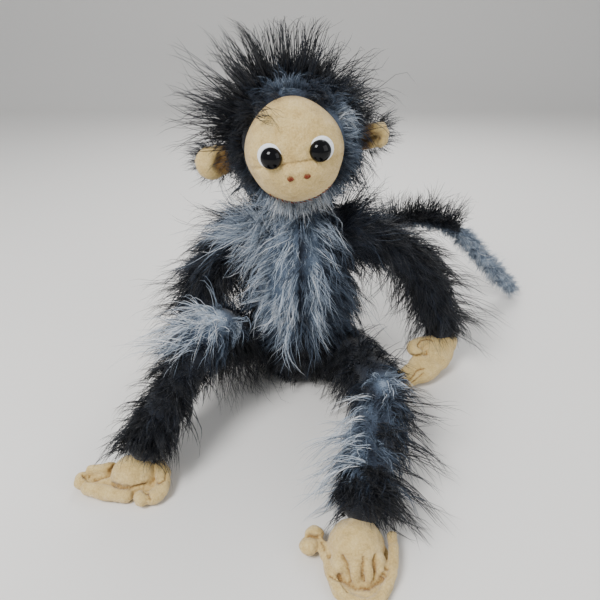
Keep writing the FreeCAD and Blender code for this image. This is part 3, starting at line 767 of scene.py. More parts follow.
# --- torso -------------------------------------------------------------------------------------
@dataclass
class Torso:
    """The body: a turned egg of cloth with shoulders, and a coat that is pale on its right front."""

    profile: tuple = ((0.0, 0.3), (20.0, 0.6), (32.0, 7.0), (36.5, 28.0), (36.0, 55.0), (33.0, 90.0),
                      (27.0, 117.0), (17.0, 136.0), (10.0, 141.0), (0.0, 143.0))
    top: float = 0.143
    widest: float = 0.0365
    rows: int = 90
    columns: int = 96
    locks: int = 300

    def radius(self, height: Array) -> Array:
        """The radius at a height: the profile's, read by linear interpolation."""
        points = np.array(self.profile) * MM
        return np.interp(height, points[:, 1], points[:, 0])

    def tone(self, points: Array) -> Array:
        """How pale the cloth is: pale on the front's right half, slate on its left, dark elsewhere."""
        x, y, z = points.T
        front = step(-y, -0.004, 0.016)
        right = 1.0 - step(x, -0.002, 0.002)
        pale = 0.64 * right * step(x, -0.036, -0.026) + (1.0 - right) * (0.26 + 0.30 * bump(x - 0.009, 0.007))
        pale = pale * step(z, 0.030, 0.060)
        seam = 0.30 * bump(x, 0.0016)
        tone = 0.10 + front * (pale - seam) + 0.12 * patches(points, 0.018, 3)
        return tone + 0.05 * patches(points, 0.006, 4)

    def build(self) -> None:
        """Makes the cloth and its coat."""
        side = np.array(self.profile) * MM
        foot = np.linspace(side[1, 1], side[2, 1], 8)[:-1]
        height = np.concatenate([foot, np.linspace(side[2, 1], side[-2, 1], self.rows - len(foot))])
        radius = self.radius(height)
        radius = np.convolve(np.pad(radius, 4, mode="edge"), np.ones(9) / 9, "valid")
        angle = np.linspace(0.0, FULL_TURN, self.columns, endpoint=False)
        ring = np.stack((np.cos(angle), np.sin(angle), np.zeros(self.columns)), -1)
        points = ring[None] * radius[:, None, None] + UP * height[:, None, None]
        points = np.concatenate([points.reshape(-1, 3), [(0.0, 0.0, FLOOR)], [(0.0, 0.0, side[-1, 1])]])
        points[:, 2] = np.maximum(points[:, 2], FLOOR)
        faces = closed_grid(len(height), self.columns)
        cloth = new_piece("torso_cloth", points, faces, tone=self.tone(points) * 0.7)
        dress(cloth, "mohair_backing")
        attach(cloth, "torso")
        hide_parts("torso_front_left", "torso_front_right", "torso_back_left", "torso_back_right",
                    "torso_stuffing")
        self.coat("torso_coat_front", 11, front=True)
        self.coat("torso_coat_back", 12, front=False)
        self.collar()
        self.shoulders()

    def collar(self) -> None:
        """Locks round the neck that cover the joint below the head."""
        coat = Coat("neck_coat", 17)
        neck = joint_at("neck_turn")
        mound = Egg(neck - UP * 0.004, mm(17.0, 17.0, 8.0))
        directions = rough_sphere(coat.rng, 420)
        directions = directions[(directions[:, 2] > -0.2) & (directions[:, 2] < 0.75)]
        points, normals = mound.points(directions), mound.normals(directions)
        way = directions * np.array((1.0, 1.0, 0.2)) - UP * 0.1 + rough_sphere(coat.rng, len(points)) * 0.4
        front = step(-directions[:, 1], -0.1, 0.5) * step(-directions[:, 0], -0.6, 0.2)
        tone = 0.09 + 0.5 * front + 0.10 * patches(points, 0.008, 18)
        skull = Egg(mm(-4.0, -6.0, 177.0), mm(37.0, 37.0, 38.5))
        feet = Feet(points, normals, unit(way), tone, np.full(len(points), 0.62))
        coat.add(replace(LONG, hairs=6), feet, (skull,))
        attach(coat.build(slot="mohair_grey"), "torso")

    def feet(self, rng: Rng, count: int, front: bool) -> Feet:
        """Random feet on the front or the back, combed down and away from the middle seam."""
        height = rng.uniform(0.006, 0.139, count)
        angle = rng.uniform(math.pi, FULL_TURN, count) if front else rng.uniform(0.0, math.pi, count)
        radius = self.radius(height)
        out = np.stack((np.cos(angle), np.sin(angle), np.zeros(count)), -1)
        points = out * radius[:, None] + UP * height[:, None]
        levels = np.linspace(0.0, self.top, 200)
        slope = np.gradient(self.radius(levels), self.top / 199)
        normals = unit(out - UP * np.interp(height, levels, slope)[:, None])
        sideways = np.stack((np.sign(points[:, 0]), np.zeros(count), np.zeros(count)), -1)
        fan = 0.55 * np.clip(np.abs(points[:, 0]) / 0.02, 0.2, 1.0)
        combed = sideways * fan[:, None] - UP + rough_sphere(rng, count) * 0.35
        combed = unit(combed - normals * np.sum(combed * normals, -1, keepdims=True))
        reach = (0.5 + 0.5 * step(height, 0.02, 0.06)) * (0.9 + 0.2 * patches(points, 0.02, 6))
        keep = rng.uniform(0.0, 1.0, count) < radius / self.widest
        return Feet(points, normals, combed, self.tone(points), reach).kept(keep)

    def coat(self, name: str, seed: int, front: bool) -> None:
        """A short undercoat and long locks over it."""
        coat = Coat(name, seed)
        forms = (Egg(mm(0.0, 0.0, 45.0), mm(36.5, 36.5, 46.0)), Egg(mm(0.0, 0.0, 88.0), mm(32.0, 32.0, 52.0)))
        coat.add(SHORT, self.feet(coat.rng, 620, front))
        coat.add(LONG, self.feet(coat.rng, self.locks, front), forms)
        coat.add(WISP, self.feet(coat.rng, 70, front), forms)
        piece = coat.build(slot="mohair_grey")
        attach(piece, "torso")

    def shoulders(self) -> None:
        """The body's cloth where each arm's disc lies on it, and the long pile that covers the joint."""
        for side, sign, tone in (("left", 1.0, 0.16), ("right", -1.0, 0.66)):
            at = joint_at(f"shoulder_{side}_turn")
            inner, outer = sign * 0.018, sign * (abs(at[0]) - 0.0005)
            line = np.linspace((inner, at[1], at[2]), (outer, at[1], at[2]), 20)
            radius = 0.0112 * np.sqrt(np.clip(1.0 - np.linspace(0.0, 0.98, 20) ** 10, 0.0, 1.0))
            points, faces, _ = Tube.along(line, radius, UP).shell()
            pad = new_piece(f"shoulder_cloth_{side}", points, faces, tone=self.tone(points) * 0.6)
            dress(pad, "mohair_backing")
            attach(pad, "torso")
            coat = Coat(f"shoulder_coat_{side}", 14 + int(sign))
            hill = Egg(mm(sign * 27.0, -1.0, 113.0), mm(13.0, 14.0, 13.5))
            arm = Egg(mm(sign * 54.0, 0.0, 105.0), mm(17.0, 12.5, 15.5))
            directions = rough_sphere(coat.rng, 620)
            directions = directions[(directions[:, 0] * sign > 0.05) | (directions[:, 1] < -0.5)]
            points, normals = hill.points(directions), hill.normals(directions)
            way = np.array((sign * 0.9, -0.15, -0.35)) + rough_sphere(coat.rng, len(points)) * 0.45
            front = step(-directions[:, 1], -0.3, 0.4)
            shade = 0.10 + (tone - 0.10) * front + 0.10 * patches(points, 0.01, 16)
            feet = Feet(points, normals, unit(way), shade, np.full(len(points), 0.85))
            coat.add(replace(LONG, hairs=7), feet.kept(coat.rng.uniform(size=len(points)) < 0.5), (arm,))
            rise = directions[:, 2] > 0.0
            feet.combed = unit(np.array((sign * 0.8, -0.1, 0.15)) + rough_sphere(coat.rng, len(points)) * 0.6)
            rise = rise & (coat.rng.uniform(size=len(points)) < 0.35)
            coat.add(replace(WISP, fall=0.1), feet.kept(rise), (arm,))
            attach(coat.build(slot="mohair_grey"), "torso")


# --- head --------------------------------------------------------------------------------------
@dataclass(frozen=True)
class Tuft:
    """One kind of tuft on the crown.

    It stands between two corners, in millimetres from the skull's centre in the head's level frame,
    and is combed along heading plus fan times the way from pole, with a share of mess.
    """

    lock: Lock
    locks: int
    low: tuple
    high: tuple
    heading: tuple
    fan: float
    pole: tuple
    mess: float


CROWN = (
    Tuft(CREST, 78, (-40, -20, 4), (-10, 14, 40), (-0.35, -0.2, 0.2), 1.0, (-12, 4, 12), 0.2),
    Tuft(replace(CREST, hairs=6, lift=0.95, length=0.043), 46, (-14, -16, 26), (14, 14, 44),
         (0.1, 0.0, 1.0), 0.4, (0, 0, 10), 0.4),
    Tuft(replace(CREST, hairs=5, curl=0.15, frizz=0.2, fall=0.28, length=0.036), 62, (6, -16, 4),
         (40, 16, 44), (0.6, -0.1, 0.3), 0.6, (6, 0, 8), 0.45),
    Tuft(replace(CREST, length=0.019, frizz=0.2), 105, (-36, -24, 8), (36, 26, 44), (0.0, 0.1, 0.2), 0.7,
         (0, 0, 0), 0.6),
    Tuft(replace(CREST, length=0.026, frizz=0.2, fall=0.3, lift=0.5), 120, (-40, 0, -30), (40, 40, 34),
         (0.0, 0.3, -0.4), 0.6, (0, 0, 0), 0.45),
)


@dataclass
class Head:
    """The head's cloth, the crest, the cheeks' short pile and the whiskers round the felt face."""

    skull: Egg = field(default_factory=lambda: Egg(mm(-4.0, -6.0, 177.0), mm(38.0, 38.0, 40.0)))
    face: Egg = field(default_factory=lambda: Egg(mm(-3.5, -30.0, 175.5), mm(28.5, 22.0, 30.5)))
    roll: Array = field(default_factory=lambda: turn(-8.0, (0.0, 1.0, 0.0)))

    def level(self, points: Array) -> Array:
        """points in the head's own level frame, in metres from the skull's centre."""
        return (points - self.skull.centre) @ self.roll

    def tone(self, points: Array) -> Array:
        """Black, with slate above the face, mist beside its left temple and frost below the chin."""
        x, y, z = self.level(points).T
        front = step(-y, 0.0, 0.018)
        brow = 0.42 * bump(z - 0.036, 0.010) * bump(x, 0.024) * front
        temple = 0.62 * bump(x - 0.032, 0.009) * bump(z - 0.016, 0.014) * front
        cheek = 0.38 * bump(x - 0.032, 0.009) * bump(z + 0.012, 0.02) * front
        chin = 0.50 * step(-z, 0.020, 0.032) * step(-y, -0.01, 0.01)
        nape = 0.25 * bump(x + 0.034, 0.012) * bump(z + 0.022, 0.014)
        return 0.07 + brow + temple + cheek + chin + nape + 0.07 * patches(points, 0.012, 8)

    def feet(self, rng: Rng, count: int) -> tuple[Feet, Array]:
        """Random feet over the skull, combed back and down, and their places in the level frame."""
        directions = rough_sphere(rng, count)
        points, normals = self.skull.points(directions), self.skull.normals(directions)
        local = self.level(points)
        outward = unit(np.stack((local[:, 0], local[:, 1] * 0.4 + 0.008, np.zeros(count)), -1))
        combed = outward * 0.8 - UP * 0.6 + rough_sphere(rng, count) * 0.3
        combed = unit(combed - normals * np.sum(combed * normals, -1, keepdims=True))
        tone = self.tone(points)
        return Feet(points, normals, combed, tone, np.ones(count)), local

    def off_face(self, points: Array, margin: float) -> Array:
        """True for points outside the felt face's outline, grown by margin."""
        local = (points - self.face.centre) @ self.roll
        across = (local[:, 0] / (self.face.semi[0] + margin)) ** 2
        across = across + (local[:, 2] / (self.face.semi[2] + margin)) ** 2
        return (across > 1.0) | (local[:, 1] > 0.012)

    def build(self) -> None:
        """Makes the cloth and the coats."""
        directions, faces = globe(80, 110)
        points = self.skull.points(directions)
        points[:, 2] = np.maximum(points[:, 2], 0.1406)
        cloth = new_piece("head_cloth", points, faces, tone=self.tone(points) * 0.8)
        dress(cloth, "mohair_backing")
        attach(cloth, "head")
        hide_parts("head_gusset", "head_side_left", "head_side_right", "head_stuffing")
        self.short_coat()
        self.crest()
        self.whiskers()

    def short_coat(self) -> None:
        """Short pile all over and middling locks on the sides and the back."""
        coat = Coat("head_coat", 21)
        feet, local = self.feet(coat.rng, 1150)
        keep = self.off_face(feet.points, 0.0005) & (feet.points[:, 2] > 0.143)
        feet.reach = 0.75 + 0.5 * step(feet.points[:, 2], 0.15, 0.2)
        coat.add(SHORT, feet.kept(keep))
        feet, local = self.feet(coat.rng, 520)
        keep = self.off_face(feet.points, 0.004) & (feet.points[:, 2] > 0.148) & (local[:, 2] < 0.030)
        keep &= (local[:, 1] > -0.020) | (local[:, 2] < 0.0)
        feet.reach = 0.55 + 0.25 * step(local[:, 1], -0.01, 0.02)
        coat.add(LONG, feet.kept(keep), (self.skull,))
        feet, local = self.feet(coat.rng, 420)
        keep = self.off_face(feet.points, 0.004) & (feet.points[:, 2] > 0.152) & (np.abs(local[:, 0]) > 0.022)
        feet.tone = np.minimum(feet.tone, 0.25)
        feet.reach = np.full(len(local), 0.62)
        coat.add(WISP, feet.kept(keep), (self.skull,))
        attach(coat.build(), "head")

    def crest(self) -> None:
        """The tufts of the crown: a rosette to the right, wisps in the middle, curls to the left."""
        coat = Coat("crown_crest", 22)
        for tuft in CROWN:
            feet, local = self.feet(coat.rng, tuft.locks * 12)
            keep = np.all((local > mm(*tuft.low)) & (local < mm(*tuft.high)), axis=1)
            keep = keep & self.off_face(feet.points, 0.006)
            feet, local = feet.kept(keep), local[keep]
            feet, local = feet.kept(np.arange(len(local)) < tuft.locks), local[: tuft.locks]
            away = unit(local - mm(*tuft.pole))
            mess = rough_sphere(coat.rng, len(local)) * tuft.mess
            feet.combed = unit(np.array(tuft.heading) + away * tuft.fan + mess)
            feet.tone = np.clip(0.05 + 0.10 * patches(feet.points, 0.012, 10), 0.0, 0.3)
            feet.reach = coat.rng.uniform(0.55, 1.0, len(local))
            coat.add(tuft.lock, feet)
        piece = coat.build()
        points, _ = vertices_of(piece)
        knee = CAD_BOX[1][2] + 0.003
        high = points[:, 2] > knee
        points[high, 2] = knee + 0.010 * np.tanh((points[high, 2] - knee) / 0.020)
        move_vertices(piece, points)
        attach(piece, "head")
        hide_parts("crown_pile")

    def whiskers(self) -> None:
        """Short pale locks that come out from under the felt all round the face."""
        coat = Coat("face_whiskers", 23)
        rng = coat.rng
        count = 340
        angle = rng.uniform(0.0, FULL_TURN, count)
        flat = np.stack((np.cos(angle), np.zeros(count), np.sin(angle)), -1)
        local = flat * self.face.semi * rng.uniform(0.98, 1.08, (count, 1)) + mm(0.0, 4.0, 0.0)
        points = self.face.centre + local @ self.roll.T
        points = self.skull.clear(points, 0.0)
        outward = flat @ self.roll.T
        normals = unit(outward * 0.6 - np.array((0.0, 0.8, 0.0)))
        combed = unit(outward + rough_sphere(rng, count) * 0.35)
        low = step(-flat[:, 2], 0.3, 0.9)
        tone = self.tone(points) + 0.25 * low
        reach = 0.75 + 0.35 * low + 0.25 * step(flat[:, 0], 0.6, 1.0)
        lock = Lock(hairs=7, length=0.011, spread=0.0016, width=0.00019, lift=0.35, lie=0.9, clump=0.45,
                    frizz=0.22, segments=4, fall=0.15)
        coat.add(lock, Feet(points, normals, combed, tone, reach), (self.skull,))
        brow = self.face.centre + mm(-15.5, -16.0, 25.0) @ self.roll.T + rough_sphere(rng, 5) * 0.002
        ways = unit(np.array((0.9, -0.35, -0.35)) + rough_sphere(rng, 5) * 0.2)
        normals = np.tile(np.array((0.0, -0.8, 0.6)), (5, 1))
        stray = Feet(brow, normals, ways, np.full(5, 0.04), np.full(5, 0.55))
        coat.add(replace(WISP, hairs=4, lift=0.2), stray)
        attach(coat.build(), "head")


@dataclass
class Face:
    """The felt face with its seam, eyes, nostrils and stitches, tilted with the head."""

    head: Head
    midline: float = 0.0012
    eye_across: float = 0.0139
    eye_up: float = 0.0010
    eye_radius: float = 0.0063
    seam_up: float = -0.0030
    nostril_across: float = 0.0046
    nostril_up: float = -0.0112

    def on_felt(self, across: Array, up: Array) -> tuple[Array, Array]:
        """Points and normals of the face's front at distances across and up from its middle."""
        a, b, c = self.head.face.semi
        inside = np.sqrt(np.maximum(1.0 - (across / a) ** 2 - (up / c) ** 2, 0.0))
        local = np.stack((across, -b * inside, up), -1)
        normals = unit(local / self.head.face.semi**2)
        return self.head.face.centre + local @ self.head.roll.T, normals @ self.head.roll.T

    def build(self) -> None:
        """Makes the felt and everything on it."""
        self.felt()
        for name, sign in (("left", 1.0), ("right", -1.0)):
            self.eye(name, sign)
        self.stitches()

    def felt(self) -> None:
        """The felt: the face's egg with a groove at the seam, a fuller muzzle and eye hollows."""
        face = self.head.face
        directions, faces = globe(110, 150)
        directions = directions @ turn(90.0, (1.0, 0.0, 0.0)).T
        local = directions * face.semi
        high = local[:, 2] / face.semi[2]
        wider = 1.0 + 0.045 * bump(high + 0.05, 0.45) - 0.05 * step(high, 0.35, 0.95)
        local[:, 0] *= wider + 0.09 * bump(high + 0.8, 0.25)
        across, up = local[:, 0] - self.midline, local[:, 2]
        front = step(-local[:, 1], 0.0, 0.012)
        seam = self.seam_up - 0.0006 * (across / 0.014) ** 2
        groove = 0.0009 * bump(up - seam, 0.0007)
        muzzle = 0.0016 * step(seam - up, -0.001, 0.006) * bump(across, 0.018)
        hollows = sum(
            0.0008 * bump(np.hypot(across - sign * self.eye_across, up - self.eye_up), 0.008)
            for sign in (-1.0, 1.0)
        )
        pinch = 0.0005 * bump(np.hypot(np.abs(across) - self.nostril_across, up - self.nostril_up), 0.0016)
        swell = muzzle - groove - hollows - pinch
        swell = swell + 0.00022 * patches(local, 0.010, 31) + 0.00010 * patches(local, 0.004, 32)
        local = local + unit(local / face.semi**2) * (swell * front)[:, None]
        rim = step(np.hypot(across / face.semi[0], up / face.semi[2]), 0.9, 1.0)
        # painted shade in the seam's groove and towards the face's rim, with a faint mottle
        soil = 0.10 * bump(up - seam, 0.0009) * front + 0.16 * rim + 0.04 * patches(local, 0.014, 33)
        felt = new_piece("face_felt", face.centre + local @ self.head.roll.T, faces, soil=soil, tone=soil)
        dress(felt, "tan_felt")
        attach(felt, "head")
        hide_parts("face_upper", "face_muzzle")
        self.nap()

    def nap(self) -> None:
        """The felt's own short fibres."""
        coat = Coat("face_nap", 34)
        rng = coat.rng
        count = 2400
        ring = np.sqrt(rng.uniform(0.0, 0.985, count))
        angle = rng.uniform(0.0, FULL_TURN, count)
        across = ring * np.cos(angle) * self.head.face.semi[0]
        up = ring * np.sin(angle) * self.head.face.semi[2]
        points, normals = self.on_felt(across, up)
        combed = unit(np.cross(normals, rough_sphere(rng, count)))
        eyes = np.hypot(np.abs(across) - self.eye_across, up - self.eye_up) > 0.0075
        feet = Feet(points, normals, combed, np.zeros(count), np.ones(count)).kept(eyes)
        coat.add(NAP, feet)
        piece = coat.build("tan_felt", "felt_tan")
        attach(piece, "head")

    def eye(self, name: str, sign: float) -> None:
        """A black dome on a white felt disc that shows as a crescent above it and outwards."""
        across = np.array([self.midline + sign * self.eye_across])
        centre, normal = self.on_felt(across, np.array([self.eye_up]))
        centre, normal = centre[0], normal[0]
        facing = unit(normal * 0.55 + np.array((0.0, -1.0, 0.12)) * 0.6)
        side = unit(np.cross(facing, UP))
        axes = np.stack((side, np.cross(side, facing), facing), -1)
        dome = Egg(centre + facing * 0.0004, np.array((1.0, 1.0, 0.80)) * self.eye_radius, axes)
        points, faces = dome.shell(40, 56)
        glass = new_piece(f"eye_glass_{name}", points, faces)
        dress(glass, "eye_black")
        disc = Egg(centre - side * sign * 0.0010 + axes[:, 1] * 0.0011 + facing * 0.0002,
                   np.array((1.12, 1.12, 0.24)) * self.eye_radius, axes)
        points, faces = disc.shell(24, 56)
        felt = new_piece(f"eye_felt_{name}", points, faces, soil=np.zeros(len(points)))
        dress(felt, "white_felt")
        for piece in (glass, felt):
            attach(piece, "head")
        if name == "left":
            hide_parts("eye_glasses")
            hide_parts("eye_felts")

    def stitches(self) -> None:
        """Two nostril knots and a row of slanting stitches along the lower edge."""
        coat = Coat("face_stitches_thread", 35)
        rng = coat.rng
        for sign in (-1.0, 1.0):
            count = 12
            lean = rng.uniform(-0.5, 0.5, count)
            slide = np.linspace(-0.0016, 0.0016, count)
            t = np.linspace(-1.0, 1.0, 7)
            across = self.midline + sign * self.nostril_across + slide[:, None] + lean[:, None] * 0.0004 * t
            tall = 0.0017 * np.sqrt(1.0 - (slide / 0.0018) ** 2)
            up = self.nostril_up + tall[:, None] * t[None, :] + rng.uniform(-0.0002, 0.0002, (count, 1))
            points, normals = self.on_felt(across.ravel(), up.ravel())
            arch = (1.0 - t**2)[None, :].repeat(count, 0).ravel()[:, None]
            lines = (points + normals * (0.0010 * arch + 0.0011)).reshape(count, 7, 3)
            coat.rods(lines, 0.00036, np.zeros(count), 0.0)
        count = 15
        angle = np.radians(-90.0 + np.linspace(-40.0, 42.0, count) + rng.uniform(-1.5, 1.5, count))
        t = np.linspace(-1.0, 1.0, 7)
        ring = 0.945 + 0.035 * t[None, :] * rng.uniform(0.7, 1.2, (count, 1))
        slant = angle[:, None] + 0.035 * t[None, :]
        semi = self.head.face.semi
        across, up = np.cos(slant) * semi[0] * ring, np.sin(slant) * semi[2] * ring
        points, normals = self.on_felt(across.ravel(), up.ravel())
        coat.rods((points + normals * 0.0018).reshape(count, 7, 3), 0.00044, np.zeros(count), 0.0)
        piece = coat.build("rust_thread", "thread_brown")
        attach(piece, "head")
        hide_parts("face_stitches")


# --- felt forms --------------------------------------------------------------------------------
def fused(name: str, shells: Iterable[tuple[Array, Array]], voxel: float, rounds: int) -> Piece:
    """Joins closed shells into one skin by a voxel remesh and smooths it.

    Args:
        name: the piece's name.
        shells: points and triangles of each shell.
        voxel: the remesh's voxel, in metres.
        rounds: how many times the skin is smoothed.

    Returns:
        The piece, with the modifiers applied.
    """
    points, faces, count = [], [], 0
    for shell_points, shell_faces in shells:
        points.append(shell_points)
        faces.append(shell_faces + count)
        count += len(shell_points)
    rough = new_piece(name + "_rough", np.concatenate(points), np.concatenate(faces))
    remesh = rough.modifiers.new("skin", "REMESH")
    remesh.mode = "VOXEL"
    remesh.voxel_size = voxel
    smooth = rough.modifiers.new("smooth", "SMOOTH")
    smooth.factor = 0.5
    smooth.iterations = rounds
    mesh = bpy.data.meshes.new_from_object(rough.evaluated_get(bpy.context.evaluated_depsgraph_get()))
    mesh.name = name
    mesh.polygons.foreach_set("use_smooth", np.ones(len(mesh.polygons), dtype=bool))
    bpy.data.objects.remove(rough)
    piece = bpy.data.objects.new(name, mesh)
    bpy.context.scene.collection.objects.link(piece)
    return piece


@dataclass(frozen=True)
class Crease:
    """A sewn or pressed line in felt: a valley along a line of points."""

    line: Array
    depth: float
    width: float

    def distance(self, points: Array) -> Array:
        """How far each point is from the line, laid onto the skin at sixty places."""
        at = np.linspace(0.0, 1.0, len(self.line))
        where = np.linspace(0.0, 1.0, 60)
        samples = np.stack([np.interp(where, at, self.line[:, k]) for k in range(3)], -1)
        gaps = np.linalg.norm(points[:, None] - samples[None], axis=-1)
        laid = points[gaps.argmin(axis=0)]
        return np.linalg.norm(points[:, None] - laid[None], axis=-1).min(axis=1)


class FeltForm:
    """A hand, foot or ear of felt: shells fused into a skin, with creases and a nap."""

    def __init__(self, name: str, seed: int, place: Array, axes: Array) -> None:
        """Keeps where the form's own frame lies in the toy's."""
        self.name, self.seed, self.place, self.axes = name, seed, place, axes
        self.shells: list[tuple[Array, Array]] = []
        self.creases: list[Crease] = []

    def world(self, local: Array) -> Array:
        """Points of the form's own frame in the toy's frame."""
        return self.place + local @ self.axes.T

    def lobe(self, centre: tuple, semi: tuple, degrees: float = 0.0, axis: tuple = (0.0, 0.0, 1.0),
             floor: float | None = 0.6) -> None:
        """Adds an ellipsoid, in millimetres in the form's own frame, turned about an axis."""
        egg = Egg(mm(*centre), mm(*semi), turn(degrees, axis))
        points, faces = egg.shell(28, 44)
        points = self.world(points)
        if floor is not None:
            points[:, 2] = np.maximum(points[:, 2], floor * MM)
        self.shells.append((points, faces))

    def cord(self, line: Iterable[tuple], radius: float, floor: float = 0.6) -> None:
        """Adds a round roll through points in millimetres in the form's own frame."""
        path = soft_line(np.array(list(line), dtype=float) * MM, 40, 7)
        share = np.linspace(0.0, 1.0, 40)
        reach = np.linalg.norm(np.diff(path, axis=0), axis=1).sum()
        end = np.clip(np.minimum(share, 1.0 - share) * reach / (radius * MM), 0.0, 1.0)
        size = radius * MM * np.sqrt(np.clip(1.0 - (1.0 - end) ** 2, 0.01, 1.0))
        points, faces, _ = Tube.along(path, size, np.array((0.03, 0.02, 1.0))).shell(20)
        points = self.world(points)
        points[:, 2] = np.maximum(points[:, 2], floor * MM)
        self.shells.append((points, faces))

    def crease(self, line: Iterable[tuple], depth: float, width: float) -> None:
        """Adds a crease through points in millimetres in the form's own frame."""
        self.creases.append(Crease(self.world(np.array(list(line)) * MM), depth * MM, width * MM))

    def build(self, body: str, replaced: Iterable[str], voxel: float = 0.0007, rounds: int = 3,
              soil: Callable[[Array], Array] | None = None, nap: int = 1500,
              fill: float | None = None) -> Piece:
        """Makes the skin, presses the creases in, paints shade into them and adds the nap.

        Args:
            body: the body that the form rides on.
            replaced: the frame's nodes that it stands for.
            voxel: the voxel of the remesh, in metres.
            rounds: how many times the skin is smoothed.
            soil: painted shade to add to the felt at points, on top of the painted shade in the creases.
            nap: how many tufts of nap.
            fill: how tightly it is stuffed, from 0 to 1, or None where nothing is in it; not used.

        Returns:
            The skin.
        """
        piece = fused(self.name, self.shells, voxel, rounds)
        points, normals = vertices_of(piece)
        depth = np.zeros(len(points))
        # a faint random mottle of the felt's own colour
        felt_shade_and_mottle = 0.03 * patches(points, 0.012, self.seed)
        for line in self.creases:
            gap = line.distance(points)
            depth = depth + line.depth * bump(gap, line.width)
            # painted shade: each crease is darkened where shade would fall in it, and the caller's painted
            # shade is added below
            felt_shade_and_mottle = felt_shade_and_mottle + 0.42 * bump(gap, line.width * 0.8)
        if soil is not None:
            felt_shade_and_mottle = felt_shade_and_mottle + soil(points)
        wave = 0.00030 * patches(points, 0.009, self.seed + 1)
        wave = wave + 0.00012 * patches(points, 0.0035, self.seed + 2)
        points = points + normals * (wave - depth)[:, None]
        points[:, 2] = np.maximum(points[:, 2], FLOOR)
        move_vertices(piece, points)
        set_value(piece, "soil", felt_shade_and_mottle)
        set_value(piece, "tone", felt_shade_and_mottle)
        dress(piece, "tan_felt")
        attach(piece, body)
        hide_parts(*replaced)
        coat = Coat(self.name + "_nap", self.seed + 3)
        points, normals = vertices_of(piece)
        pick = coat.rng.integers(0, len(points), nap)
        feet = Feet(points[pick], normals[pick], unit(np.cross(normals[pick], rough_sphere(coat.rng, nap))),
                    np.zeros(nap), np.ones(nap))
        coat.add(NAP, feet)
        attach(coat.build("tan_felt", "felt_tan"), body)
        return piece


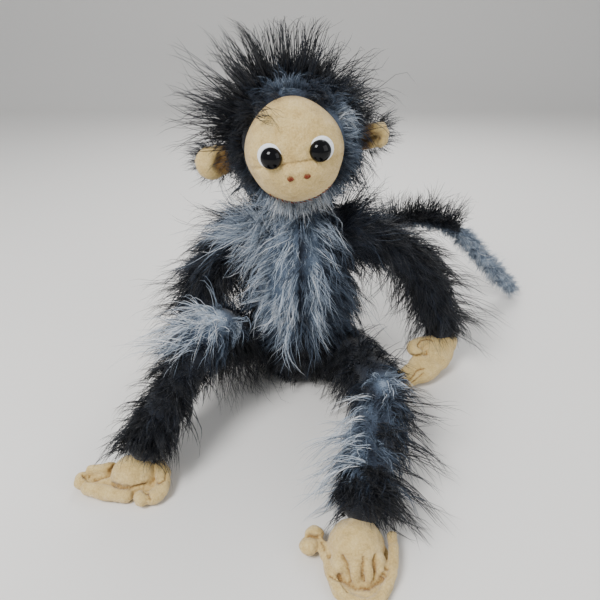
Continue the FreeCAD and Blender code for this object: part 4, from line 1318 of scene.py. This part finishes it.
@dataclass(frozen=True)
class FeltFeet:
    """Both feet: a stuffed top with toes in a wide sole whose edge curls up, and a big toe."""

    voxel: float = 0.00055
    rounds: int = 2
    nap: int = 1500

    def build(self) -> None:
        """Makes both feet."""
        for side, form in (("left", self.left), ("right", self.right)):
            form().build(f"shin_{side}", (f"foot_top_{side}", f"foot_sole_{side}"), voxel=self.voxel,
                         rounds=self.rounds, nap=self.nap, fill=HAND_AND_FOOT_FILL)

    def left(self) -> FeltForm:
        """The left foot, toes forward, with a row of four small toes."""
        foot = FeltForm("foot_felt_left", 41, np.zeros(3), np.eye(3))
        foot.lobe((28.6, -171.0, 4.0), (15.0, 14.5, 16.6))
        for x, y, wide, long, tall in (
            (19.2, -179.6, 4.4, 7.0, 6.6), (26.6, -182.6, 4.3, 8.0, 6.6),
            (33.0, -183.0, 3.4, 7.6, 6.4), (38.8, -180.8, 3.9, 7.2, 6.6),
        ):
            foot.lobe((x, y, 5.8), (wide, long, tall - 0.8), 18.0, (1.0, 0.0, 0.0))
        foot.lobe((29.5, -180.0, 2.4), (17.2, 23.0, 3.0))
        foot.lobe((28.8, -179.0, 4.0), (13.6, 9.0, 8.6))
        foot.cord(
            ((13.6, -172.0, 4.4), (13.6, -181.0, 4.6), (15.8, -189.5, 4.2), (21.5, -195.5, 3.8),
             (29.0, -200.5, 3.4), (36.0, -199.5, 4.0), (40.6, -193.0, 5.0), (44.6, -185.5, 6.4),
             (47.2, -176.0, 7.4), (47.6, -163.0, 7.6)), 2.7,
        )
        foot.cord(((30.0, -197.5, 2.4), (30.5, -202.0, 2.6)), 4.4)
        foot.lobe((7.2, -164.6, 7.6), (5.2, 4.0, 4.4), 15.0)
        foot.lobe((4.4, -170.6, 6.2), (5.0, 4.8, 4.5))
        foot.cord(((8.0, -166.5, 5.6), (12.0, -170.5, 5.2), (13.6, -178.0, 4.6)), 3.0)
        for line, depth, width in (
            (((22.4, -178.5, 11.0), (23.2, -184.0, 9.0), (24.4, -189.0, 5.0)), 1.3, 0.9),
            (((30.0, -180.0, 12.0), (30.2, -184.0, 10.0), (30.2, -189.0, 6.0)), 1.0, 0.8),
            (((36.0, -179.5, 12.0), (35.9, -184.0, 9.0), (36.2, -188.0, 6.0)), 1.2, 0.8),
            (((17.0, -178.0, 4.5), (19.5, -187.5, 3.8), (26.0, -192.0, 3.4), (33.0, -192.0, 3.4),
              (40.0, -187.0, 4.2), (43.4, -179.0, 5.0), (44.4, -165.0, 5.5)), 1.2, 1.2),
            (((14.2, -187.0, 6.0), (19.2, -190.0, 6.0), (22.5, -194.5, 6.0)), 1.1, 0.6),
            (((2.0, -168.0, 9.0), (5.5, -167.4, 9.5), (9.4, -168.0, 9.0)), 1.5, 0.8),
            (((11.0, -170.0, 9.0), (12.6, -174.0, 8.0)), 0.8, 0.8),
        ):
            foot.crease(line, depth, width)
        return foot

    def right(self) -> FeltForm:
        """The right foot, turned outwards, with a rolled heel and a curled big toe."""
        foot = FeltForm("foot_felt_right", 45, np.zeros(3), np.eye(3))
        foot.lobe((-98.0, -124.5, 4.0), (13.4, 11.0, 16.0))
        foot.lobe((-103.0, -127.0, 2.6), (25.0, 11.0, 4.6))
        foot.lobe((-113.0, -126.0, 3.0), (13.0, 7.0, 5.0))
        for line, radius in (
            (((-127.0, -121.5, 7.0), (-118.0, -121.5, 8.6), (-109.0, -119.5, 9.2)), 3.2),
            (((-126.5, -123.0, 6.6), (-128.0, -128.0, 6.0), (-126.0, -132.5, 5.2)), 4.2),
            (((-126.0, -131.0, 4.8), (-117.0, -134.0, 4.8), (-106.0, -136.4, 4.6), (-95.0, -136.6, 4.4)),
             4.3),
            (((-92.0, -136.0, 5.6), (-89.6, -140.0, 5.2), (-87.8, -144.2, 4.6)), 4.1),
            (((-88.0, -138.0, 4.8), (-83.0, -139.0, 4.6), (-80.0, -135.5, 5.4), (-79.4, -128.5, 7.4),
              (-81.5, -121.5, 8.6), (-87.0, -117.5, 9.0)), 4.3),
        ):
            foot.cord(line, radius)
        for line, depth, width in (
            (((-126.0, -127.6, 10.0), (-118.7, -128.0, 8.0), (-112.5, -125.4, 9.0), (-109.5, -121.0, 11.0)),
             2.0, 1.1),
            (((-122.0, -130.4, 8.6), (-115.0, -130.8, 7.6), (-108.5, -131.6, 7.6), (-102.2, -134.6, 8.0),
              (-92.0, -135.4, 8.4), (-88.3, -134.0, 8.0), (-84.0, -133.0, 8.0)), 2.0, 0.9),
            (((-84.5, -130.0, 8.5), (-80.6, -133.6, 9.5), (-77.6, -131.0, 10.0), (-78.4, -126.3, 11.0)),
             1.0, 0.6),
            (((-88.0, -136.0, 9.0), (-85.4, -139.6, 8.0), (-83.9, -142.0, 6.5)), 1.4, 0.7),
        ):
            foot.crease(line, depth, width)
        return foot


@dataclass(frozen=True)
class Hand:
    """A felt mitten tipped on its side, with a rolled thumb along its upper edge.

    place and way are in millimetres: the palm's middle, and the direction in which the fingers
    point. tip is how far the hand leans onto its side, and mirror is -1 for the right hand.
    """

    side: str
    place: tuple
    way: tuple
    tip: float
    mirror: float
    seed: int

    def build(self) -> None:
        """Makes the hand."""
        ahead = unit(np.array(self.way))
        across = turn(-self.tip * self.mirror, ahead) @ unit(np.cross(UP, ahead)) * self.mirror
        up = np.cross(ahead, across) * self.mirror
        axes = np.stack((ahead, across, up), -1)
        hand = FeltForm(f"hand_felt_{self.side}", self.seed, mm(*self.place), axes)
        for centre, semi, degrees in (
            ((-24.0, -5.5, 0.5), (13.0, 10.5, 8.2), 12.0),
            ((-11.0, -1.0, 0.0), (20.0, 13.4, 6.8), 12.0),
            ((2.0, 3.0, 0.0), (19.0, 11.8, 6.4), 8.0),
            ((15.0, 3.6, -0.6), (14.0, 8.6, 5.4), 0.0),
            ((21.5, 6.6, -1.0), (7.5, 4.6, 4.2), 20.0),
            ((22.5, 0.6, -0.6), (7.0, 4.4, 4.6), -8.0),
        ):
            hand.lobe(centre, semi, degrees)
        thumb = ((-20.0, -8.5, 1.0), (-8.0, -13.0, 3.4), (2.0, -14.5, 4.4), (7.4, -13.6, 4.8),
                 (6.6, -9.6, 5.2), (0.0, -8.0, 4.6))
        hand.cord(thumb, 4.3)
        for line, depth, width in (
            (((3.0, -11.0, 9.0), (-1.5, -14.0, 9.0), (-9.0, -12.4, 8.6), (-12.5, -8.5, 8.0)), 1.3, 0.7),
            (((3.0, -11.0, 9.5), (1.6, -8.6, 9.5), (-2.6, -6.2, 8.0), (-1.0, -3.0, 7.0)), 1.5, 0.8),
            (((10.5, -8.0, 4.0), (5.0, -5.4, 6.0), (0.0, -4.4, 6.8)), 2.0, 1.0),
            (((29.0, 6.0, 2.0), (21.9, 6.6, 4.0), (14.0, 3.6, 6.0), (9.1, 5.0, 6.0)), 1.1, 0.7),
            (((27.0, 9.6, 2.0), (18.0, 9.4, 4.5), (11.0, 7.8, 6.0)), 0.9, 0.6),
        ):
            hand.crease(line, depth, width)
        hand.build(f"forearm_{self.side}", (f"hand_back_{self.side}", f"hand_palm_{self.side}"),
                   voxel=0.0006, rounds=2, nap=1300, fill=HAND_AND_FOOT_FILL)


HANDS = (
    Hand("left", (96.0, -17.0, 13.6), (-42.0, -28.0, -6.0), 35.0, 1.0, 51),
    Hand("right", (-96.0, 23.0, 11.0), (-22.0, 34.0, -6.0), 14.0, -1.0, 55),
)


@dataclass(frozen=True)
class Ears:
    """Both ears: folded cups of felt, with nothing in them, and black pile behind."""

    locks: int = 260

    def build(self) -> None:
        """Makes the felt and then the pile."""
        self.right()
        self.left()
        self.pile("left", mm(46.0, 1.5, 178.5), 68)
        self.pile("right", mm(-57.0, 0.0, 162.0), 69)

    def right(self) -> None:
        """The right ear, open to the front."""
        ear = FeltForm("ear_felt_right", 61, mm(-57.0, -7.0, 161.8), turn(10.0))
        ear.lobe((-1.0, 0.0, 0.0), (9.8, 6.5, 10.8), floor=None)
        ear.lobe((5.0, 2.5, 1.5), (10.0, 5.5, 10.2), floor=None)
        ear.crease(((7.0, -5.6, 4.5), (4.0, -6.0, 1.5), (3.0, -6.2, -1.5), (7.0, -5.0, -4.0)), 2.6, 2.4)
        # painted shade on the ear's inner side, next to the head
        ear.build("head", ("ear_right",), soil=lambda p: 0.45 * step(p[:, 0], -0.0560, -0.047), nap=900)

    def left(self) -> None:
        """The left ear, folded over."""
        ear = FeltForm("ear_felt_left", 65, mm(46.0, -4.0, 178.5), turn(-25.0))
        for centre, semi, degrees in (
            ((0.5, -0.5, 4.4), (9.6, 5.0, 3.9), -16.0),
            ((7.2, 0.5, -0.5), (3.4, 4.6, 6.6), 14.0),
            ((0.5, 0.5, -5.0), (8.6, 3.6, 2.6), -24.0),
            ((-3.0, 4.5, -1.0), (9.0, 2.6, 8.0), 0.0),
        ):
            ear.lobe(centre, semi, degrees, (0.0, 1.0, 0.0), floor=None)
        ear.crease(((-7.0, -4.0, 0.0), (0.0, -4.8, -0.6), (4.0, -4.6, 0.0)), 1.6, 1.6)
        # painted shade on the ear's inner side, next to the head
        ear.build("head", ("ear_left",), soil=lambda p: 0.55 * step(-p[:, 0], -0.0485, -0.042), nap=800)

    def pile(self, side: str, at: Array, seed: int) -> None:
        """The pile on the back of an ear."""
        coat = Coat(f"ear_coat_{side}", seed)
        egg = Egg(at, mm(10.0, 5.0, 11.5))
        directions = rough_sphere(coat.rng, self.locks)
        directions = directions[(directions[:, 1] > 0.0)]
        points, normals = egg.points(directions), egg.normals(directions)
        away = unit(points - mm(0.0, -6.0, 172.0))
        combed = unit(away + rough_sphere(coat.rng, len(points)) * 0.5)
        tone = 0.12 + 0.15 * patches(points, 0.01, seed)
        lock = Lock(hairs=5, length=0.014, spread=0.0016, width=0.00016, lift=0.5, lie=0.7, clump=0.3,
                    frizz=0.3, segments=4)
        coat.add(lock, Feet(points, normals, combed, tone, np.full(len(points), 0.9)))
        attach(coat.build(), "head")


# --- limbs -------------------------------------------------------------------------------------
@dataclass(frozen=True)
class Fringe:
    """Extra long locks on one face of a limb, between two shares of its length."""

    lock: Lock
    locks: int
    low: float
    high: float
    facing: tuple
    combed: tuple
    tone: float


HANGING = replace(WISP, hairs=6, length=0.034, lift=0.35, lie=0.35, fall=0.65, curl=0.13, frizz=0.22)
STRAND = replace(WISP, hairs=5, length=0.033, lift=0.4, lie=0.85, fall=0.25, curl=0.09, frizz=0.12, clump=0.6)
ANKLE = replace(WISP, hairs=6, length=0.015, lift=0.5, lie=0.8, curl=0.12, spread=0.0024, segments=4)


@dataclass
class Limb:
    """An arm or a leg: one sleeve of cloth across its bend, with its coat."""

    name: str
    seed: int
    root: Array
    bend: Array
    tip: Array
    radius: float
    tip_radius: float
    upper: str
    lower: str
    replaced: tuple
    tone: Callable[[Array, Array], Array]
    reach: Callable[[Array], Array]
    fan: Array
    locks: int = 300
    fullness: float = 1.0
    fringes: tuple = ()
    columns: int = 48
    bend_reach: float = 0.013

    def tube(self) -> Tube:
        """The sleeve about a soft line through root, bend and tip, with rounded ends."""
        line = soft_line(np.stack((self.root, self.bend, self.tip)))
        share = np.linspace(0.0, 1.0, len(line))
        radius = self.radius + (self.tip_radius - self.radius) * share
        reach = np.linalg.norm(np.diff(line, axis=0), axis=1).sum()
        end = np.minimum(share, 1.0 - share) * reach / self.radius
        radius = radius * np.sqrt(np.clip(1.0 - (1.0 - np.clip(end, 0.0, 1.0)) ** 2, 0.004, 1.0))
        return Tube.along(line, radius, np.cross(self.bend - self.root, self.tip - self.bend))

    def build(self) -> None:
        """Makes the sleeve and its coat."""
        tube = self.tube()
        points, faces, share = tube.shell(self.columns)
        points[:, 2] = np.maximum(points[:, 2], FLOOR)
        wave = 0.0004 * patches(points, 0.014, self.seed)
        middle = np.repeat(tube.centre, self.columns, 0).mean(0)
        points = points + unit(points - middle) * wave[:, None] * 0.2
        sleeve = new_piece(f"{self.name}_sleeve", points, faces, tone=self.tone(points, share) * 0.75)
        dress(sleeve, "mohair_backing")
        coat = Coat(f"{self.name}_coat", self.seed)
        coat.add(SHORT, self.feet(tube, coat.rng, int(self.locks * 1.7), 1.0))
        coat.add(LONG, self.feet(tube, coat.rng, self.locks, self.fullness), (tube,))
        coat.add(WISP, self.feet(tube, coat.rng, self.locks // 4, self.fullness), (tube,))
        for fringe in self.fringes:
            points, normals, _, _ = tube.sample(coat.rng, fringe.locks * 3, fringe.low, fringe.high)
            keep = normals @ unit(np.array(fringe.facing)) > 0.25
            points, normals = points[keep][: fringe.locks], normals[keep][: fringe.locks]
            count = len(points)
            combed = unit(np.array(fringe.combed) + rough_sphere(coat.rng, count) * 0.3)
            tone = np.clip(fringe.tone + 0.08 * patches(points, 0.01, self.seed), 0.0, 1.0)
            coat.add(fringe.lock, Feet(points, normals, combed, tone, np.ones(count)), (tube,))
        pile = coat.build()
        for piece in (sleeve, pile):
            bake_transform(piece)
        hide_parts(*self.replaced)

    def feet(self, tube: Tube, rng: Rng, count: int, fullness: float) -> Feet:
        """Random feet along the sleeve, combed towards the hand or foot and out along the fan."""
        points, normals, onward, share = tube.sample(rng, count, 0.03, 0.98)
        combed = onward * 0.75 + self.fan * 0.5 + rough_sphere(rng, count) * 0.4
        combed = unit(combed - 0.7 * normals * np.sum(combed * normals, -1, keepdims=True))
        return Feet(points, normals, combed, self.tone(points, share), self.reach(share) * fullness)


LEG_FRINGES = {
    "right": (
        Fringe(ANKLE, 90, 0.84, 0.95, (0.0, -0.3, 1.0), (0.0, -0.7, -0.7), 0.03),
        Fringe(HANGING, 120, 0.04, 0.46, (0.4, 0.0, -1.0), (0.1, 0.0, -1.0), 0.04),
        Fringe(STRAND, 70, 0.40, 0.58, (-0.7, -0.2, 0.4), (-0.9, -0.1, -0.5), 0.78),
        Fringe(replace(STRAND, length=0.024), 30, 0.55, 0.95, (-1.0, -0.2, 0.3), (-0.5, -0.4, -0.7), 0.04),
    ),
    "left": (
        Fringe(ANKLE, 110, 0.84, 0.95, (0.0, 0.0, 1.0), (-0.1, -1.0, 0.0), 0.03),
        Fringe(HANGING, 90, 0.04, 0.40, (-0.4, -0.2, -0.8), (-0.1, -0.2, -1.0), 0.04),
        Fringe(replace(STRAND, hairs=6), 34, 0.56, 0.90, (-1.0, 0.2, 0.4), (-0.8, -0.6, -0.3), 0.80),
        Fringe(replace(STRAND, hairs=6), 44, 0.50, 0.97, (1.0, -0.1, 0.3), (0.6, -0.8, -0.1), 0.03),
    ),
}


@dataclass(frozen=True)
class ArmTone:
    """An arm's tone: dark, with a paler wrist and streaks."""

    pale: float
    seed: int

    def __call__(self, points: Array, share: Array) -> Array:
        """The tone at points and their shares of the length."""
        streak = np.clip(patches(points, 0.02, self.seed), 0.0, 1.0)
        wrist = 0.16 * step(share, 0.78, 0.95) * streak
        return 0.10 + self.pale * streak + wrist + 0.05 * patches(points, 0.008, self.seed + 5)


@dataclass(frozen=True)
class LegTone:
    """A leg's tone: dark, with a pale knee, and a slate shin with a pale inner side on the left."""

    side: str
    knee: Array

    def __call__(self, points: Array, share: Array) -> Array:
        """The tone at points and their shares of the length."""
        spot = np.linalg.norm(points - (self.knee + mm(0.0, -6.0, 6.0)), axis=1)
        if self.side == "right":
            low, high = mm(-15.0, -37.0, 32.0), mm(-45.0, -51.0, 64.0)
            t = np.clip((points - low) @ (high - low) / np.sum((high - low) ** 2), 0.0, 1.0)
            ridge = bump(np.linalg.norm(points - low - t[:, None] * (high - low), axis=1), 0.006)
            return 0.07 + 0.88 * bump(spot, 0.018) + 0.5 * ridge + 0.05 * patches(points, 0.01, 81)
        middle = 0.054 + 0.29 * (points[:, 1] + 0.082)
        inner = step(middle - points[:, 0], -0.004, 0.006)
        shin = step(share, 0.52, 0.62) * (0.26 + 0.20 * inner)
        shade = 0.08 + 0.75 * bump(spot, 0.013) + shin + 0.12 * patches(points, 0.012, 82)
        return shade * (1.0 - 0.8 * step(share, 0.88, 0.96))


@dataclass(frozen=True)
class Limbs:
    """Both arms and both legs, from the frame's joints to the wrists and ankles."""

    arm_radii: tuple = (0.0122, 0.0106)
    leg_radii: tuple = (0.0135, 0.0118)

    def build(self) -> None:
        """Makes the left arm and leg and then the right ones."""
        for side, sign in (("left", 1.0), ("right", -1.0)):
            self.arm(side, sign).build()
            self.leg(side, sign).build()

    def arm(self, side: str, sign: float) -> Limb:
        """The arm of a side; sign is 1 on the left."""
        left = side == "left"
        shoulder = joint_at(f"shoulder_{side}_turn") + mm(sign * 2.0, 0.0, 0.0)
        wrist = mm(114.5, 5.0, 20.5) if left else mm(-87.5, 14.0, 17.5)
        fringes = (
            Fringe(STRAND, 16 if left else 50, 0.2, 0.9, (-sign, -0.3, 0.0), (-sign * 0.3, -0.3, -0.8), 0.05),
            Fringe(STRAND, 60, 0.1, 0.9, (sign * 0.8, -0.2, 0.3), (sign * 0.7, -0.3, -0.3), 0.06),
            Fringe(HANGING, 60, 0.1, 0.8, (-sign * 0.3, 0.0, -1.0), (sign * 0.1, -0.1, -0.9), 0.04),
        )
        return Limb(
            f"arm_{side}", 71 if left else 75, shoulder, joint_at(f"elbow_{side}_bend"), wrist,
            *self.arm_radii, f"upper_arm_{side}", f"forearm_{side}",
            (f"upper_arm_sleeve_{side}", f"upper_arm_stuffing_{side}", f"forearm_sleeve_{side}",
             f"forearm_stuffing_{side}"),
            ArmTone(0.10 if left else 0.30, 70 + int(sign)), lambda share: 0.76 - 0.5 * step(share, 0.8, 1.0),
            np.array((sign * 0.5, -0.1, -0.3)), locks=240, fringes=fringes,
        )

    def leg(self, side: str, sign: float) -> Limb:
        """The leg of a side; sign is 1 on the left."""
        left = side == "left"
        knee = joint_at(f"knee_{side}_bend")
        thigh = joint_at(f"hip_{side}_turn") + mm(sign * 11.5, 0.0, 0.0)
        ankle = mm(30.0, -166.0, 18.0) if left else mm(-95.0, -124.0, 18.5)
        return Limb(
            f"leg_{side}", 83 if left else 87, thigh, knee, ankle,
            *self.leg_radii, f"thigh_{side}", f"shin_{side}",
            (f"thigh_sleeve_{side}", f"thigh_stuffing_{side}", f"shin_sleeve_{side}",
             f"shin_stuffing_{side}"),
            LegTone(side, knee), lambda share: 0.66 - 0.1 * step(share, 0.85, 1.0),
            np.array((sign * 0.35, 0.0, -0.15)), locks=270, fringes=LEG_FRINGES[side],
        )


# --- tail --------------------------------------------------------------------------------------
@dataclass(frozen=True)
class Tail:
    """The tail: three lengths of tube, black and fringed on top, the last pale and woolly."""

    rings: int = 60
    columns: int = 28
    locks: int = 520
    wisps: int = 420

    def build(self) -> None:
        """Makes the three lengths."""
        starts = [joint_at(n) for n in ("tail_root_swing", "tail_middle_bend", "tail_tip_bend")]
        middles = [mm(27.0, 60.0, 57.0), mm(104.0, 87.0, 92.0), mm(174.0, 104.0, 46.0)]
        ends = starts[1:] + [mm(214.0, 117.0, 6.4)]
        for k, part in enumerate(("base", "middle", "tip")):
            self.length(part, 91 + k, starts[k], middles[k], ends[k])

    def tone(self, part: str, points: Array, normals: Array) -> Array:
        """Black on top and mist below, or mist all round on the tip."""
        mist = 0.58 if part == "tip" else 0.42 * step(-normals[:, 2], -0.1, 0.6)
        return 0.10 + mist + 0.12 * patches(points, 0.009, 95)

    def tube(self, part: str, start: Array, middle: Array, end: Array) -> Tube:
        """A tube about the parabola through start, middle and end, with rounded ends."""
        t = np.linspace(0.0, 1.0, self.rings)[:, None]
        control = 2.0 * middle - 0.5 * (start + end)
        line = (1.0 - t) ** 2 * start + 2.0 * t * (1.0 - t) * control + t**2 * end
        thick = 0.0058 if part == "tip" else 0.0052
        radius = thick * np.sqrt(np.clip(1.0 - np.abs(2.0 * t[:, 0] - 1.0) ** 16, 0.02, 1.0))
        return Tube.along(line, radius, UP)

    def length(self, part: str, seed: int, start: Array, middle: Array, end: Array) -> None:
        """Makes the cloth and the coat of one length.

        Args:
            part: base, middle or tip.
            seed: the seed of the coat.
            start: the joint that it turns on.
            middle: a point half way.
            end: its far end.
        """
        tip = part == "tip"
        slot = "mohair_grey" if tip else "mohair_black"
        tube = self.tube(part, start, middle, end)
        points, faces, _ = tube.shell(self.columns)
        points[:, 2] = np.maximum(points[:, 2], FLOOR)
        ring = np.minimum(np.arange(len(points)) // self.columns, self.rings - 1)
        normals = unit(points - tube.centre[ring])
        tone = self.tone(part, points, normals) * 0.85
        sleeve = new_piece(f"tail_cloth_{part}", points, faces, tone=tone)
        dress(sleeve, "mohair_backing")
        coat = Coat(f"tail_coat_{part}", seed)
        where, out, onward, _ = tube.sample(coat.rng, self.locks, 0.01, 0.99)
        combed = unit(onward * 0.6 + rough_sphere(coat.rng, self.locks) * 0.6)
        woolly = Lock(hairs=7, length=0.0085 if tip else 0.007, spread=0.0018, width=0.00019, lift=0.6,
                      lie=0.6, clump=0.3, frizz=0.4, curl=0.12, segments=4)
        feet = Feet(where, out, combed, self.tone(part, where, out), np.ones(self.locks))
        coat.add(woolly, feet, (tube,))
        if not tip:
            where, out, onward, _ = tube.sample(coat.rng, self.wisps, 0.02, 0.98)
            combed = unit(onward * 0.35 + UP * 0.7 + rough_sphere(coat.rng, self.wisps) * 0.45)
            feet = Feet(where, out, combed, np.full(self.wisps, 0.07), np.full(self.wisps, 0.55))
            coat.add(WISP, feet.kept(out[:, 2] > 0.15))
        pile = coat.build(slot=slot)
        for piece in (sleeve, pile):
            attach(piece, f"tail_{part}")
        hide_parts(f"tail_sleeve_{part}")


# --- hidden hard parts -------------------------------------------------------------------------
def dress_hard_parts() -> None:
    """The discs, pins, washers and wires keep their CAD shape and get board or steel."""
    for name, node in frame["nodes"].items():
        board = "disc" in name
        steel = any(word in name for word in ("pin", "washer", "wire"))
        if board or steel:
            node.data.materials.clear()
            node.data.materials.append(MATERIALS["pressed_board" if board else "plain_steel"])


# --- the room ----------------------------------------------------------------------------------
@dataclass(frozen=True)
class Studio:
    """A pale floor that sweeps up into a wall, soft lights and the camera."""

    camera_at: tuple = (0.0, -0.343, 0.240)
    camera_pitch: float = 62.0
    lens: float = 30.78
    floor_half: float = 3.0
    wall_at: float = 1.4
    bend_radius: float = 0.5

    def build(self) -> None:
        """Makes the floor, the lights, the world and the camera."""
        self.floor()
        for name, at, target, size, power in (
            ("key_light", (-0.50, -0.60, 0.95), (0.0, 0.0, 0.08), 0.40, 15.0),
            ("fill_light", (0.9, -0.5, 0.6), (0.0, 0.0, 0.08), 0.8, 4.0),
            ("back_light", (0.2, 0.75, 0.9), (0.0, 0.0, 0.1), 0.6, 8.0),
        ):
            lamp = bpy.data.lights.new(name, "AREA")
            lamp.shape = "SQUARE"
            lamp.size = size
            lamp.energy = power
            light = self.placed(name, lamp, at)
            light.rotation_euler = (Vector(target) - Vector(at)).to_track_quat("-Z", "Y").to_euler()
        world = bpy.data.worlds.new("soft_room")
        world.use_nodes = True
        sky = world.node_tree.nodes["Background"]
        sky.inputs["Color"].default_value = (0.93, 0.96, 1.0, 1.0)
        sky.inputs["Strength"].default_value = 0.55
        bpy.context.scene.world = world
        lens = bpy.data.cameras.new("camera")
        lens.lens = self.lens
        lens.sensor_width = 36.0
        lens.clip_start = 0.01
        camera = self.placed("camera", lens, self.camera_at)
        camera.rotation_euler = (math.radians(self.camera_pitch), 0.0, 0.0)
        bpy.context.scene.camera = camera

    def floor(self) -> None:
        """The floor and wall: one strip with a rounded bend between them."""
        bend = np.linspace(0.0, math.pi / 2.0, 25)
        far = self.wall_at + self.bend_radius
        run = np.concatenate([(-self.floor_half,), self.wall_at + self.bend_radius * np.sin(bend), (far,)])
        climb = self.bend_radius - self.bend_radius * np.cos(bend)
        rise = np.concatenate([(0.0,), climb, (self.floor_half,)])
        count = len(run)
        left = np.stack((np.full(count, -self.floor_half), run, rise), -1)
        corners = np.concatenate([left, left * np.array((-1.0, 1.0, 1.0))])
        k = np.arange(count - 1)
        floor = new_piece("floor", corners, np.stack((k, k + count, k + count + 1, k + 1), -1))
        floor.data.materials.append(new_material("pale_floor", (0.78, 0.76, 0.73, 1.0), Roughness=0.7)[0])

    @staticmethod
    def placed(name: str, data: bpy.types.ID, at: tuple) -> Piece:
        """A new object that shows data at a place."""
        made = bpy.data.objects.new(name, data)
        bpy.context.scene.collection.objects.link(made)
        made.location = at
        return made


def main() -> None:
    """Builds every sub-assembly."""
    logging.basicConfig(level=logging.INFO, format="%(message)s")
    Studio().build()
    dress_hard_parts()
    Torso().build()
    head = Head()
    head.build()
    Face(head).build()
    Ears().build()
    for hand in HANDS:
        hand.build()
    FeltFeet().build()
    Limbs().build()
    Tail().build()


if __name__ == "__main__":
    main()
